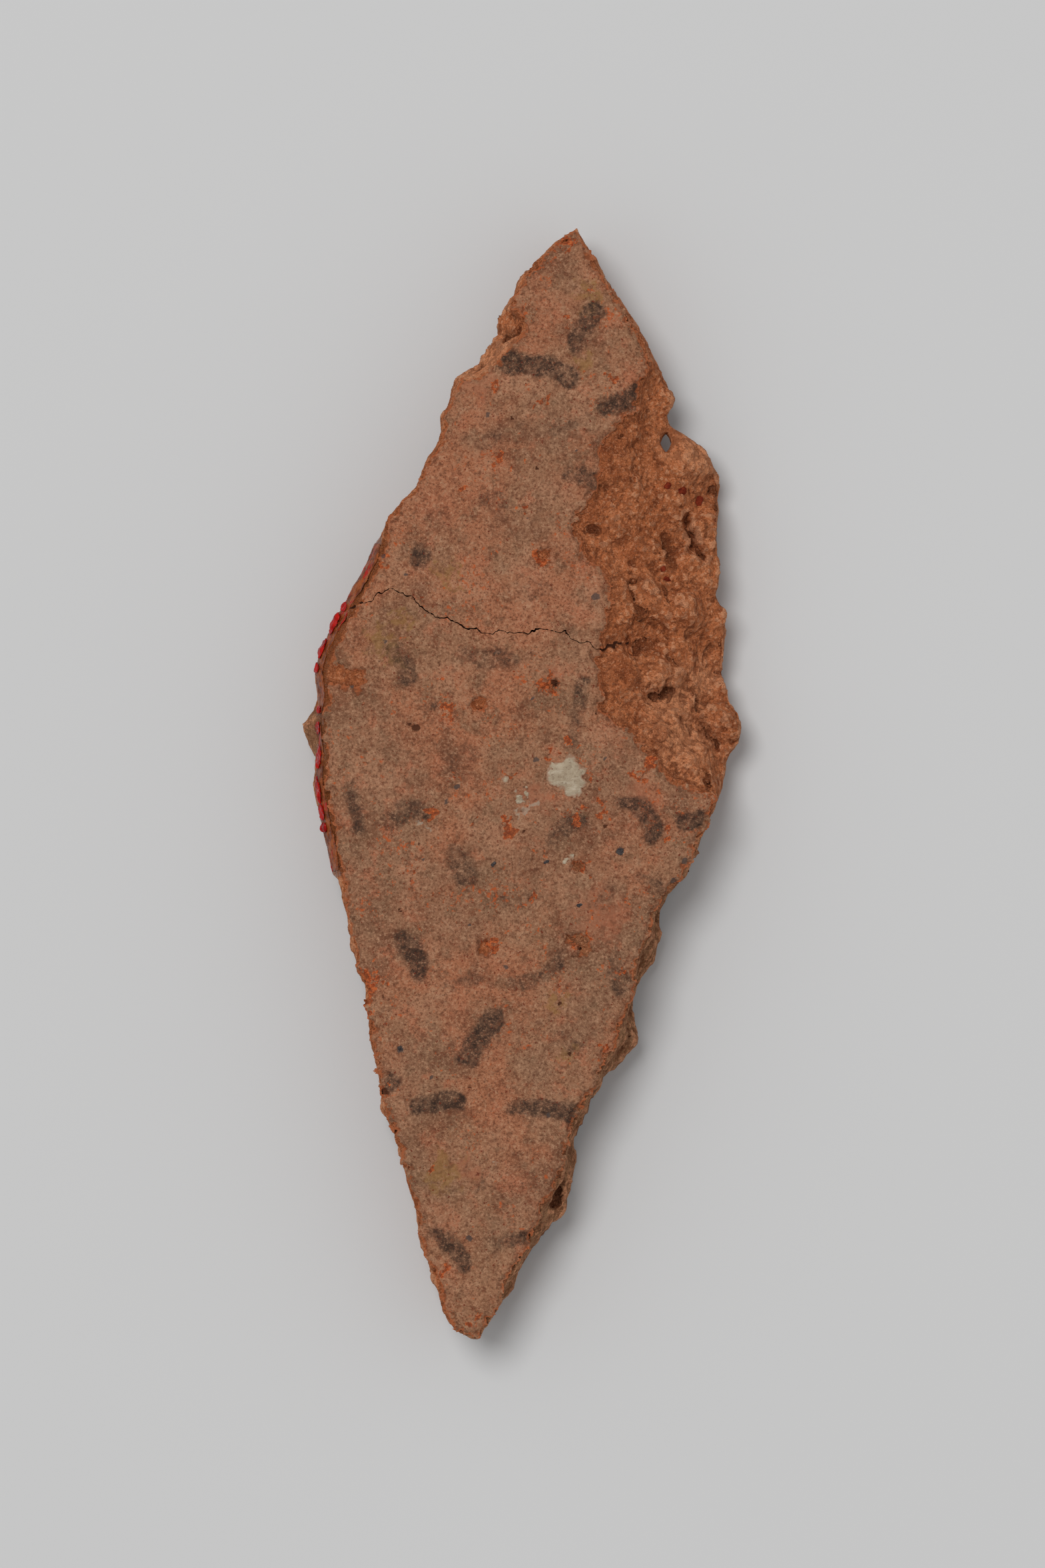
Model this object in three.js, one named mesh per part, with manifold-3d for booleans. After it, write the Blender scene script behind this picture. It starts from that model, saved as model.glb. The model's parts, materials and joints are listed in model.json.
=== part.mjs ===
// A slipped potsherd: one fragment broken from the wall of a wheel-thrown vessel, lying on its inner face.
// The vessel's axis runs along Y, the sherd's long way, and +Z points out of the slipped outer face.
// The wall is thrown as a full ring, then cut to the broken outline, and what sits on it or in it follows.
// Lengths are millimetres. A name that ends in share or shares holds parts of the size that it follows.

import * as THREE from "three";
import { mergeVertices } from "three/addons/utils/BufferGeometryUtils.js";
import Module from "manifold-3d";

const wasm = await Module();
wasm.setup();

// Driving dimensions of the sherd and of the vessel that it came from
const sherdLength = 84;
const sherdWidth = 33.4;
const vessel = { outerRadius: 120, profileRadius: 700, wall: 8, ridgeSpacing: 8.5, ridgeHeight: 0.5 };

// The slip is a thin coat on the outer face, and the break is set out in steps along it and down it.
const slip = { thickness: 0.3, bond: 0.05 };
const broken = { stepAlong: 1, lump: 4.2, lumpHeight: 0.75, grain: 1.5, grainHeight: 0.3 };
const crack = { width: 0.2, depth: 1.8, ragged: 0.12 };
const crackUnevenShare = 0.3;
const crackFloorShare = 0.33;
const spurHole = { width: 0.8, height: 2.2, turn: 0.25 };
const underScar = { across: 9, along: 8, height: 3.8 };
const restWear = 0.35;

// What sits on the sherd or is bedded in it
const lime = { patchWidth: 3.1, patchHeight: 3, thickness: 0.22, speckWidth: 1.1 };
const film = { thickness: 0.16 };
const drip = { width: 1.1, bulge: 0.34 };
const grain = { size: 1 };
const grainUnevenShare = 0.16;
const grainLumpShare = 0.7;
const flake = { size: 1 };
const seatGap = 0.05;

// How far a cutting solid runs past what it cuts, and the facet sizes of the thrown wall
const overrun = 1.5;
const facet = { around: 3, along: 10.5, ridge: 1.45, ragged: 0.55 };
const weld = 0.0001;

// How uneven a flake's or patch's outline is, and the depths of the break's rings in parts of the wall
const raggedShare = 0.22;
const ringShares = [0.05, 0.08, 0.13, 0.2, 0.28, 0.34, 0.39, 0.445, 0.5, 0.62, 0.78, 0.95];

// Outline of the sherd, clockwise from the top. Each stretch lists places on the widest outline, in parts of
// the width and the length from the middle. Where the outer face breaks away well inside that outline,
// marginShares lists the matching places on the face's margin, and elsewhere the margin lies insetShare of
// the wall inside. reachShare is how deep in the wall the widest outline lies, hollow bends the slope to it,
// rough scales the relief, and slipShare is the bare strip between margin and slip, in parts of the wall.
const stretches = {
  crownRight: {
    edgeShares: [
      [0.126, 0.5], [0.16, 0.48], [0.189, 0.457], [0.223, 0.436], [0.28, 0.4], [0.298, 0.382],
    ],
    insetShare: 0.035, reachShare: 0.39, hollow: 0.7, rough: 0.4, slipShare: 0.012,
  },
  neck: {
    edgeShares: [[0.317, 0.372], [0.334, 0.351], [0.328, 0.327]],
    marginShares: [[0.281, 0.37], [0.268, 0.353], [0.262, 0.333]],
    reachShare: 0.39, hollow: 1.2, rough: 0.5, slipShare: 0.02,
  },
  spall: {
    edgeShares: [
      [0.367, 0.318], [0.395, 0.309], [0.434, 0.292], [0.452, 0.278], [0.442, 0.258], [0.443, 0.238],
      [0.445, 0.221], [0.446, 0.191], [0.439, 0.167], [0.454, 0.159], [0.46, 0.124], [0.461, 0.106],
      [0.464, 0.09], [0.47, 0.076], [0.496, 0.062], [0.5, 0.047], [0.491, 0.036], [0.47, 0.025],
      [0.464, 0.01], [0.461, -0.001],
    ],
    marginShares: [
      [0.226, 0.327], [0.202, 0.315], [0.184, 0.298], [0.184, 0.28], [0.169, 0.264], [0.132, 0.24],
      [0.121, 0.226], [0.144, 0.207], [0.195, 0.192], [0.205, 0.167], [0.187, 0.13], [0.172, 0.113],
      [0.187, 0.096], [0.177, 0.07], [0.202, 0.06], [0.237, 0.054], [0.262, 0.04], [0.301, 0.028],
      [0.334, 0.009], [0.388, -0.001],
    ],
    reachShare: 0.5, hollow: 0.65, rough: 1, slipShare: 0.02,
  },
  lowerRight: {
    edgeShares: [
      [0.452, -0.012], [0.427, -0.038], [0.409, -0.058], [0.388, -0.081], [0.353, -0.099],
      [0.323, -0.119], [0.323, -0.136], [0.302, -0.162], [0.275, -0.177], [0.274, -0.201],
      [0.272, -0.228], [0.214, -0.258], [0.193, -0.269], [0.151, -0.3], [0.121, -0.33],
      [0.124, -0.349], [0.111, -0.38], [0.081, -0.401], [0.024, -0.428], [-0.036, -0.458],
      [-0.075, -0.485],
    ],
    marginShares: [
      [0.442, -0.009], [0.416, -0.037], [0.391, -0.056], [0.367, -0.079], [0.332, -0.094],
      [0.296, -0.114], [0.292, -0.137], [0.26, -0.156], [0.253, -0.178], [0.237, -0.203],
      [0.217, -0.224], [0.184, -0.25], [0.168, -0.267], [0.133, -0.291], [0.102, -0.325],
      [0.084, -0.352], [0.049, -0.379], [0.031, -0.399], [-0.003, -0.423], [-0.049, -0.459],
      [-0.078, -0.485],
    ],
    reachShare: 0.62, hollow: 0.9, rough: 0.6, slipShare: 0.015,
  },
  foot: {
    edgeShares: [[-0.084, -0.499], [-0.102, -0.5], [-0.153, -0.49], [-0.181, -0.472]],
    insetShare: 0.035, reachShare: 0.39, hollow: 0.7, rough: 0.4, slipShare: 0.015,
  },
  lowerLeft: {
    edgeShares: [
      [-0.205, -0.441], [-0.228, -0.412], [-0.247, -0.374], [-0.269, -0.348], [-0.295, -0.313],
      [-0.316, -0.293], [-0.335, -0.251], [-0.355, -0.206], [-0.358, -0.179], [-0.377, -0.163],
      [-0.397, -0.12],
    ],
    insetShare: 0.035, reachShare: 0.39, hollow: 0.7, rough: 0.45, slipShare: 0.02,
  },
  waist: {
    edgeShares: [
      [-0.418, -0.1], [-0.44, -0.052], [-0.458, -0.021], [-0.469, 0.002], [-0.464, 0.025],
    ],
    insetShare: 0.09, reachShare: 0.29, hollow: 0.8, rough: 0.35, slipShare: 0.03,
  },
  knob: {
    edgeShares: [[-0.481, 0.037], [-0.5, 0.053], [-0.475, 0.063]],
    marginShares: [[-0.45, 0.04], [-0.449, 0.054], [-0.451, 0.065]],
    reachShare: 0.5, hollow: 1.6, rough: 0.35, slipShare: 0.03,
  },
  shoulder: {
    edgeShares: [
      [-0.461, 0.079], [-0.467, 0.101], [-0.454, 0.122], [-0.422, 0.147], [-0.379, 0.178],
      [-0.343, 0.207],
    ],
    insetShare: 0.09, reachShare: 0.29, hollow: 0.8, rough: 0.35, slipShare: 0.05,
  },
  upperLeft: {
    edgeShares: [
      [-0.304, 0.241], [-0.278, 0.254], [-0.24, 0.267], [-0.225, 0.289], [-0.183, 0.314],
      [-0.181, 0.326], [-0.157, 0.355], [-0.142, 0.367],
    ],
    insetShare: 0.035, reachShare: 0.39, hollow: 0.7, rough: 0.4, slipShare: 0.015,
  },
  chip: {
    edgeShares: [[-0.118, 0.372], [-0.096, 0.386], [-0.07, 0.399], [-0.06, 0.41], [-0.057, 0.42]],
    marginShares: [[-0.102, 0.365], [-0.045, 0.382], [-0.006, 0.4], [0.009, 0.411], [-0.004, 0.423]],
    reachShare: 0.39, hollow: 1.1, rough: 0.6, slipShare: 0.015,
  },
  crownLeft: {
    edgeShares: [[-0.039, 0.427], [-0.021, 0.442], [0.022, 0.468], [0.069, 0.487], [0.102, 0.496]],
    insetShare: 0.04, reachShare: 0.39, hollow: 0.7, rough: 0.4, slipShare: 0.02,
  },
};
const undercutShare = 0.028;

// Route of the hairline crack across the outer face, from the left break into the spall
const crackShares = [
  [-0.43, 0.158], [-0.361, 0.162], [-0.319, 0.169], [-0.287, 0.175], [-0.246, 0.17], [-0.241, 0.163],
  [-0.198, 0.15], [-0.151, 0.147], [-0.117, 0.14], [-0.078, 0.134], [-0.027, 0.139], [0.024, 0.138],
  [0.066, 0.139], [0.1, 0.136], [0.117, 0.13], [0.15, 0.126], [0.181, 0.123], [0.244, 0.127],
];
const spurHoleShares = [0.326, 0.308];
const underScarShares = [0.36, 0.323];

// Places where the slip has flaked off: the large one at the left break, and round ones by size
const leftFlakeShares = [
  [-0.5, 0.107], [-0.418, 0.107], [-0.398, 0.104], [-0.361, 0.101], [-0.355, 0.094], [-0.371, 0.081],
  [-0.38, 0.088], [-0.403, 0.09], [-0.5, 0.095],
];
const flakes = [
  { placeShares: [0.054, 0.204], sizeShare: 1.3 },
  { placeShares: [0.133, -0.141], sizeShare: 1.5 },
  { placeShares: [-0.084, -0.147], sizeShare: 1.15 },
  { placeShares: [0.127, -0.073], sizeShare: 0.7 },
  { placeShares: [0.069, 0.091], sizeShare: 0.9 },
  { placeShares: [-0.097, 0.072], sizeShare: 0.7 },
];

// Lobes that stand up on the spall and hollows sunk in it, by place in plan. A rise below zero sinks.
const lobes = [
  { placeShares: [0.386, 0.29], width: 3.4, rise: 0.8 },
  { placeShares: [0.304, 0.249], width: 3, rise: -0.8 },
  { placeShares: [0.425, 0.233], width: 3, rise: 1 },
  { placeShares: [0.341, 0.207], width: 3.2, rise: 0.7 },
  { placeShares: [0.425, 0.184], width: 3, rise: 1 },
  { placeShares: [0.27, 0.18], width: 2.8, rise: -0.6 },
  { placeShares: [0.371, 0.148], width: 3, rise: 0.9 },
  { placeShares: [0.266, 0.13], width: 2.4, rise: -0.6 },
  { placeShares: [0.296, 0.094], width: 2.8, rise: 0.9 },
  { placeShares: [0.441, 0.101], width: 2.8, rise: -0.8 },
  { placeShares: [0.36, 0.07], width: 2.8, rise: 0.6 },
  { placeShares: [0.487, 0.05], width: 2.6, rise: 0.8 },
];

// Pits plucked out of the spall. Along and across are parts of the spall's list and of its slope.
const pits = [
  { alongShare: 0.27, acrossShare: 0.8, sizeShares: [0.8, 2.6, 1.1], turn: -0.5 },
  { alongShare: 0.2, acrossShare: 0.93, sizeShares: [1.9, 0.8, 1], turn: 0.2 },
  { alongShare: 0.46, acrossShare: 0.18, sizeShares: [0.7, 2, 0.9], turn: 0.2 },
  { alongShare: 0.66, acrossShare: 0.36, sizeShares: [1.8, 0.9, 0.9], turn: 0.3 },
  { alongShare: 0.77, acrossShare: 0.8, sizeShares: [1.9, 1.7, 1.1], turn: 0 },
];

// Grog bedded in the spall, and grits that show in the outer face
const grogGrains = [
  { alongShare: 0.185, acrossShare: 0.73, sizeShares: [1.1, 0.85, 0.9] },
  { alongShare: 0.185, acrossShare: 0.615, sizeShares: [0.6, 0.75, 0.6] },
  { alongShare: 0.205, acrossShare: 0.88, sizeShares: [0.7, 0.9, 0.7] },
  { alongShare: 0.41, acrossShare: 0.57, sizeShares: [0.55, 0.6, 0.6] },
  { alongShare: 0.465, acrossShare: 0.55, sizeShares: [0.75, 0.7, 0.7] },
  { alongShare: 0.5, acrossShare: 0.64, sizeShares: [0.5, 0.5, 0.5] },
];
const faceGrits = [
  { placeShares: [0.222, -0.059], sizeShares: [0.8, 0.8, 0.6] },
  { placeShares: [0.057, -0.068], sizeShares: [0.65, 0.6, 0.6] },
  { placeShares: [-0.272, -0.235], sizeShares: [0.6, 0.65, 0.6] },
  { placeShares: [-0.063, -0.07], sizeShares: [0.5, 0.5, 0.5] },
  { placeShares: [0.13, -0.107], sizeShares: [0.55, 0.5, 0.5] },
];

// Lime left on the face, and red drips on the film. A drip's place and its length are parts of the film's run.
const limePatchShares = [0.103, 0.009];
const limeSpecks = [
  { placeShares: [0, -0.01], sizeShare: 1.15 },
  { placeShares: [-0.036, 0.006], sizeShare: 0.55 },
  { placeShares: [0.106, -0.065], sizeShare: 0.5 },
];
const drips = [
  { alongShare: 0.13, lengthShare: 0.026 },
  { alongShare: 0.185, lengthShare: 0.04 },
  { alongShare: 0.255, lengthShare: 0.065 },
  { alongShare: 0.345, lengthShare: 0.06 },
  { alongShare: 0.415, lengthShare: 0.034 },
  { alongShare: 0.47, lengthShare: 0.02 },
  { alongShare: 0.59, lengthShare: 0.028 },
  { alongShare: 0.655, lengthShare: 0.05 },
  { alongShare: 0.725, lengthShare: 0.06 },
  { alongShare: 0.78, lengthShare: 0.026 },
];
const dripDepthShare = 0.15;

// Smooth random relief: a seeded value at each whole place, blended between them, from -1 to 1
function seeded(i, j, k) {
  const wave = Math.sin(i * 127.1 + j * 311.7 + k * 74.7) * 43758.5453;
  return 2 * (wave - Math.floor(wave)) - 1;
}

function relief(place, size, seed) {
  const at = [place.x / size + seed, place.y / size - seed, place.z / size + 2 * seed];
  const low = at.map(Math.floor);
  const ease = at.map((value, axis) => THREE.MathUtils.smoothstep(value - low[axis], 0, 1));
  let sum = 0;
  for (let corner = 0; corner < 8; corner += 1) {
    const step = [corner & 1, (corner >> 1) & 1, (corner >> 2) & 1];
    const weight = step.reduce((part, on, axis) => part * (on ? ease[axis] : 1 - ease[axis]), 1);
    sum += weight * seeded(low[0] + step[0], low[1] + step[1], low[2] + step[2]);
  }
  return sum;
}

// A closed geometry becomes a solid that can be joined and cut, with its faces turned outwards.
function solidFrom(geometry) {
  const bare = new THREE.BufferGeometry();
  bare.setAttribute("position", geometry.getAttribute("position"));
  bare.setIndex(geometry.getIndex());
  const merged = mergeVertices(bare, weld);
  const vertProperties = new Float32Array(merged.getAttribute("position").array);
  const triVerts = new Uint32Array(merged.getIndex().array);
  const [a, b, c] = [new THREE.Vector3(), new THREE.Vector3(), new THREE.Vector3()];
  let volume = 0;
  for (let t = 0; t < triVerts.length; t += 3) {
    a.fromArray(vertProperties, 3 * triVerts[t]);
    b.fromArray(vertProperties, 3 * triVerts[t + 1]);
    c.fromArray(vertProperties, 3 * triVerts[t + 2]);
    volume += a.dot(b.cross(c));
  }
  if (volume < 0) {
    triVerts.reverse();
  }
  return new wasm.Manifold(new wasm.Mesh({ numProp: 3, vertProperties, triVerts }));
}

function geometryFrom(solid) {
  const mesh = solid.getMesh();
  const geometry = new THREE.BufferGeometry();
  geometry.setAttribute("position", new THREE.BufferAttribute(mesh.vertProperties, 3));
  geometry.setIndex(new THREE.BufferAttribute(mesh.triVerts, 1));
  geometry.computeVertexNormals();
  return geometry;
}

// Places in plan, from parts of the sherd's width and length
function planPlace([xShare, yShare]) {
  return new THREE.Vector2(xShare * sherdWidth, yShare * sherdLength);
}

// Radius of the vessel's outer face along its axis, and the height of that face below its highest place
function outerRadiusAt(y) {
  return vessel.outerRadius - vessel.profileRadius + Math.sqrt(vessel.profileRadius ** 2 - y ** 2);
}

function surfaceHeight(x, y, rise) {
  return Math.sqrt((outerRadiusAt(y) + rise) ** 2 - x ** 2) - vessel.outerRadius;
}

// The thrower's ridges on the inner face
function innerRise(y) {
  const swell = Math.cos((2 * Math.PI * y) / vessel.ridgeSpacing);
  return -vessel.wall + (vessel.ridgeHeight / 2) * swell;
}

// A ring thrown on the vessel's axis, between two rises above its outer face
function thrownRing(lowRise, highRise, lowStep) {
  const end = sherdLength / 2 + overrun;
  const profile = [];
  const lowCount = Math.ceil((2 * end) / lowStep);
  const highCount = Math.ceil((2 * end) / facet.along);
  for (let i = 0; i <= highCount; i += 1) {
    const y = -end + (2 * end * i) / highCount;
    profile.push(new THREE.Vector2(outerRadiusAt(y) + highRise(y), y));
  }
  for (let i = 0; i <= lowCount; i += 1) {
    const y = end - (2 * end * i) / lowCount;
    profile.push(new THREE.Vector2(outerRadiusAt(y) + lowRise(y), y));
  }
  profile.push(profile[0].clone());
  const segments = 4 * Math.ceil((Math.PI * vessel.outerRadius) / (2 * facet.around));
  const ring = new THREE.LatheGeometry(profile, segments);
  ring.translate(0, 0, -vessel.outerRadius);
  return solidFrom(ring);
}

// The outline's rows: each stretch's places with the values that hold there
function outlineRows() {
  const rows = [];
  for (const [name, stretch] of Object.entries(stretches)) {
    stretch.edgeShares.forEach((shares, i) => {
      const margin = stretch.marginShares ? planPlace(stretch.marginShares[i]) : null;
      rows.push({ ...stretch, name, edge: planPlace(shares), margin });
    });
  }
  rows.forEach((row, i) => {
    if (!row.margin) {
      const before = rows[(i + rows.length - 1) % rows.length].edge;
      const after = rows[(i + 1) % rows.length].edge;
      const run = after.clone().sub(before).normalize();
      const inset = row.insetShare * vessel.wall;
      row.margin = new THREE.Vector2(row.edge.x + run.y * inset, row.edge.y - run.x * inset);
    }
  });
  return rows;
}

// How far the lobes and hollows lift a place in plan
function lobeRise(plan) {
  let rise = 0;
  for (const lobe of lobes) {
    const off = (2 * plan.distanceTo(planPlace(lobe.placeShares))) / lobe.width;
    rise += lobe.rise * Math.exp(-off * off);
  }
  return rise;
}

// Places between two rows, part of the way from the first to the second
function between(first, second, part) {
  const mix = (key) => THREE.MathUtils.lerp(first[key], second[key], part);
  return {
    edge: first.edge.clone().lerp(second.edge, part),
    margin: first.margin.clone().lerp(second.margin, part),
    reachShare: mix("reachShare"),
    hollow: mix("hollow"),
    rough: mix("rough"),
    slipShare: mix("slipShare"),
  };
}

// One place on the break. Down to its reach it slopes from margin to edge, and below that it draws in.
// Lumps and grains lift it, but leave the face's margin and the widest outline close to their places.
// Rounded lumps with creases between them stand up on the slope, as clay breaks round its temper.
function breakPlace(row, depthShare) {
  const plan = new THREE.Vector2();
  let free = 1;
  if (depthShare < row.reachShare) {
    const first = ringShares[0];
    const down = Math.max(0, (depthShare - first) / (row.reachShare - first));
    plan.copy(row.margin).lerp(row.edge, down ** row.hollow);
    free = Math.sin(Math.PI * down);
  } else {
    const under = (depthShare - row.reachShare) / (1 - row.reachShare);
    plan.copy(row.edge).multiplyScalar(1 - undercutShare * under);
    free = under;
  }
  const place = new THREE.Vector3(plan.x, plan.y, 0);
  place.z = surfaceHeight(plan.x, plan.y, 0) - depthShare * vessel.wall;
  const lumps = broken.lumpHeight * row.rough * free;
  const grains = broken.grainHeight * row.rough;
  const sunk = THREE.MathUtils.smoothstep(depthShare, ringShares[0], ringShares[1]);
  const round = 3 * Math.abs(relief(place, broken.lump, 7)) - 1;
  return new THREE.Vector3(
    place.x + lumps * relief(place, broken.lump, 3) + grains * relief(place, broken.grain, 11),
    place.y + lumps * relief(place, broken.lump, 5) + grains * relief(place, broken.grain, 13),
    place.z + sunk * (lobeRise(plan) + lumps * round + grains * relief(place, broken.grain, 17)),
  );
}

// The break's columns of places, stepped along the outline, and where each stretch begins in them
const columns = [];
const stretchStart = {};
const rows = outlineRows();
rows.forEach((row, i) => {
  const next = rows[(i + 1) % rows.length];
  stretchStart[row.name] ??= columns.length;
  const count = Math.max(1, Math.round(row.edge.distanceTo(next.edge) / broken.stepAlong));
  for (let step = 0; step < count; step += 1) {
    const here = between(row, next, step / count);
    columns.push({ ...here, places: ringShares.map((share) => breakPlace(here, share)) });
  }
});

function columnAt(index) {
  return columns[(index + columns.length) % columns.length];
}

// Faces between neighbouring rings of places, and the two ends, joined in one closed geometry
function loft(rings) {
  const size = rings[0].length;
  const corners = [];
  for (let ring = 0; ring + 1 < rings.length; ring += 1) {
    for (let i = 0; i < size; i += 1) {
      const a = ring * size + i;
      const b = ring * size + ((i + 1) % size);
      corners.push(a, b, b + size, a, b + size, a + size);
    }
  }
  const ends = [0, rings.length - 1];
  for (const end of ends) {
    const outline = rings[end].map((place) => new THREE.Vector2(place.x, place.y));
    for (const [a, b, c] of THREE.ShapeUtils.triangulateShape(outline, [])) {
      const turned = end === 0 ? [a, b, c] : [a, c, b];
      corners.push(...turned.map((corner) => end * size + corner));
    }
  }
  const geometry = new THREE.BufferGeometry().setFromPoints(rings.flat());
  geometry.setIndex(corners);
  return geometry;
}

// The broken body: rings of the break, run straight up past the face and straight down past the inside
function brokenBlock() {
  const top = overrun;
  const low = surfaceHeight(sherdWidth / 2, sherdLength / 2, -vessel.wall) - overrun;
  const rings = ringShares.map((share, ring) => columns.map((column) => column.places[ring]));
  const above = rings[0].map((place) => new THREE.Vector3(place.x, place.y, top));
  const below = rings[rings.length - 1].map((place) => new THREE.Vector3(place.x, place.y, low));
  return solidFrom(loft([above, ...rings, below]));
}

// An upright prism through the wall on an outline in plan
function uprightPrism(outline) {
  const height = 2 * overrun + vessel.wall + sherdWidth / 2;
  const prism = new THREE.ExtrudeGeometry(new THREE.Shape(outline), { depth: height, bevelEnabled: false });
  prism.translate(0, 0, overrun - height);
  return solidFrom(prism);
}

// A ragged round outline, as a flake scar or a patch has
function raggedOutline(centre, width, length, seed) {
  const outline = [];
  const count = Math.max(8, Math.round((Math.PI * (width + length)) / (2 * facet.ragged)));
  for (let i = 0; i < count; i += 1) {
    const angle = (2 * Math.PI * i) / count;
    const swell = 1 + raggedShare * seeded(i, seed, 1);
    const x = centre.x + (width / 2) * swell * Math.cos(angle);
    const y = centre.y + (length / 2) * swell * Math.sin(angle);
    outline.push(new THREE.Vector2(x, y));
  }
  return outline;
}

// The slip's outline in plan: the face's margin, drawn in by the bare strip
function slipOutline() {
  return columns.map((column, i) => {
    const before = columnAt(i - 1).places[0];
    const after = columnAt(i + 1).places[0];
    const run = new THREE.Vector2(after.x - before.x, after.y - before.y).normalize();
    const bare = column.slipShare * vessel.wall;
    const here = column.places[0];
    return new THREE.Vector2(here.x + run.y * bare, here.y - run.x * bare);
  });
}

// The crack's cutting blade: a narrow wedge that follows the outer face
function crackRoute() {
  const hand = crackShares.map(planPlace);
  return hand.flatMap((place, i) => {
    if (i + 1 === hand.length) {
      return [place];
    }
    const middle = place.clone().lerp(hand[i + 1], 0.5);
    middle.y += crack.ragged * seeded(i, 2, 9);
    return [place, middle];
  });
}

function crackBlade() {
  const route = crackRoute();
  const rings = route.map((place, i) => {
    const before = route[Math.max(0, i - 1)];
    const after = route[Math.min(route.length - 1, i + 1)];
    const run = after.clone().sub(before).normalize();
    const side = new THREE.Vector3(-run.y, run.x, 0);
    const high = new THREE.Vector3(place.x, place.y, overrun);
    const low = new THREE.Vector3(place.x, place.y, surfaceHeight(place.x, place.y, 0) - crack.depth);
    const half = (crack.width / 2) * (1 + crackUnevenShare * seeded(i, 4, 2));
    return [
      high.clone().addScaledVector(side, half),
      high.clone().addScaledVector(side, -half),
      low.clone().addScaledVector(side, -half * crackFloorShare),
      low.clone().addScaledVector(side, half * crackFloorShare),
    ];
  });
  return solidFrom(bar(rings));
}

// A bar through four-cornered rings, with flat ends
function bar(rings) {
  const corners = [];
  for (let ring = 0; ring + 1 < rings.length; ring += 1) {
    for (let i = 0; i < 4; i += 1) {
      const a = ring * 4 + i;
      const b = ring * 4 + ((i + 1) % 4);
      corners.push(a, b, b + 4, a, b + 4, a + 4);
    }
  }
  const last = (rings.length - 1) * 4;
  corners.push(0, 2, 1, 0, 3, 2, last, last + 1, last + 2, last, last + 2, last + 3);
  const geometry = new THREE.BufferGeometry().setFromPoints(rings.flat());
  geometry.setIndex(corners);
  return geometry;
}

// The ground above the crack in plan, which parts the slip in two
function aboveCrack() {
  const far = sherdLength / 2 + overrun;
  const wide = sherdWidth / 2 + overrun;
  const route = crackRoute();
  const first = new THREE.Vector2(-wide, route[0].y);
  const last = new THREE.Vector2(wide, route[route.length - 1].y);
  return uprightPrism([first, ...route, last, new THREE.Vector2(wide, far), new THREE.Vector2(-wide, far)]);
}

// A rough grain: a faceted ball with an uneven skin. Growing it by the seat's gap gives its socket.
function grainSolid(centre, sizeShares, seed, grow, turn) {
  const ball = new THREE.IcosahedronGeometry(1, 1);
  const skin = ball.getAttribute("position");
  const place = new THREE.Vector3();
  for (let i = 0; i < skin.count; i += 1) {
    place.fromBufferAttribute(skin, i);
    const swell = 1 + grainUnevenShare * relief(place, grainLumpShare, seed);
    skin.setXYZ(i, place.x * swell, place.y * swell, place.z * swell);
  }
  const half = sizeShares.map((share) => (share * grain.size) / 2 + grow);
  ball.scale(half[0], half[1], half[2]);
  ball.rotateZ(turn);
  ball.translate(centre.x, centre.y, centre.z);
  return solidFrom(ball);
}

// A place on the spall, part of the way along its list and part of the way across its slope
function spallPlace(alongShare, acrossShare) {
  const first = stretchStart.spall;
  const last = stretchStart.lowerRight;
  const column = columnAt(Math.round(THREE.MathUtils.lerp(first, last, alongShare)));
  const down = acrossShare ** (1 / column.hollow);
  return breakPlace(column, THREE.MathUtils.lerp(ringShares[0], column.reachShare, down));
}

// A place on the slip's outer face
function facePlace(placeShares, rise) {
  const plan = planPlace(placeShares);
  return new THREE.Vector3(plan.x, plan.y, surfaceHeight(plan.x, plan.y, rise));
}

// The film lies on the break's first rings from the waist to the shoulder. Its columns run clockwise.
const filmRun = { first: stretchStart.waist + 2, last: stretchStart.upperLeft - 2 };
const filmRingCount = 4;

function breakNormal(index, ring) {
  const along = columnAt(index + 1).places[ring].clone().sub(columnAt(index - 1).places[ring]);
  const down = columnAt(index).places[ring + 1].clone().sub(columnAt(index).places[Math.max(0, ring - 1)]);
  return along.cross(down).normalize();
}

// A shell that lies on the break between two columns, from a low to a high rise above it
function breakShell(first, last, ringCount, low, high) {
  const rings = [];
  for (let index = first; index <= last; index += 1) {
    const ring = [];
    for (let k = 0; k < ringCount; k += 1) {
      ring.push(columnAt(index).places[k].clone().addScaledVector(breakNormal(index, k), high));
    }
    for (let k = ringCount - 1; k >= 0; k -= 1) {
      ring.push(columnAt(index).places[k].clone().addScaledVector(breakNormal(index, k), low));
    }
    rings.push(ring);
  }
  const size = 2 * ringCount;
  const corners = [];
  for (let ring = 0; ring + 1 < rings.length; ring += 1) {
    for (let i = 0; i < size; i += 1) {
      const a = ring * size + i;
      const b = ring * size + ((i + 1) % size);
      corners.push(a, b, b + size, a, b + size, a + size);
    }
  }
  const end = (rings.length - 1) * size;
  for (let k = 0; k + 1 < ringCount; k += 1) {
    const [a, b, c, d] = [k, k + 1, size - 2 - k, size - 1 - k];
    corners.push(a, c, b, a, d, c, end + a, end + b, end + c, end + a, end + c, end + d);
  }
  const geometry = new THREE.BufferGeometry().setFromPoints(rings.flat());
  geometry.setIndex(corners);
  return solidFrom(geometry);
}

// How far the film runs along the break
function filmLength() {
  let run = 0;
  for (let index = filmRun.first; index < filmRun.last; index += 1) {
    run += columnAt(index).places[1].distanceTo(columnAt(index + 1).places[1]);
  }
  return run;
}

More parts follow.
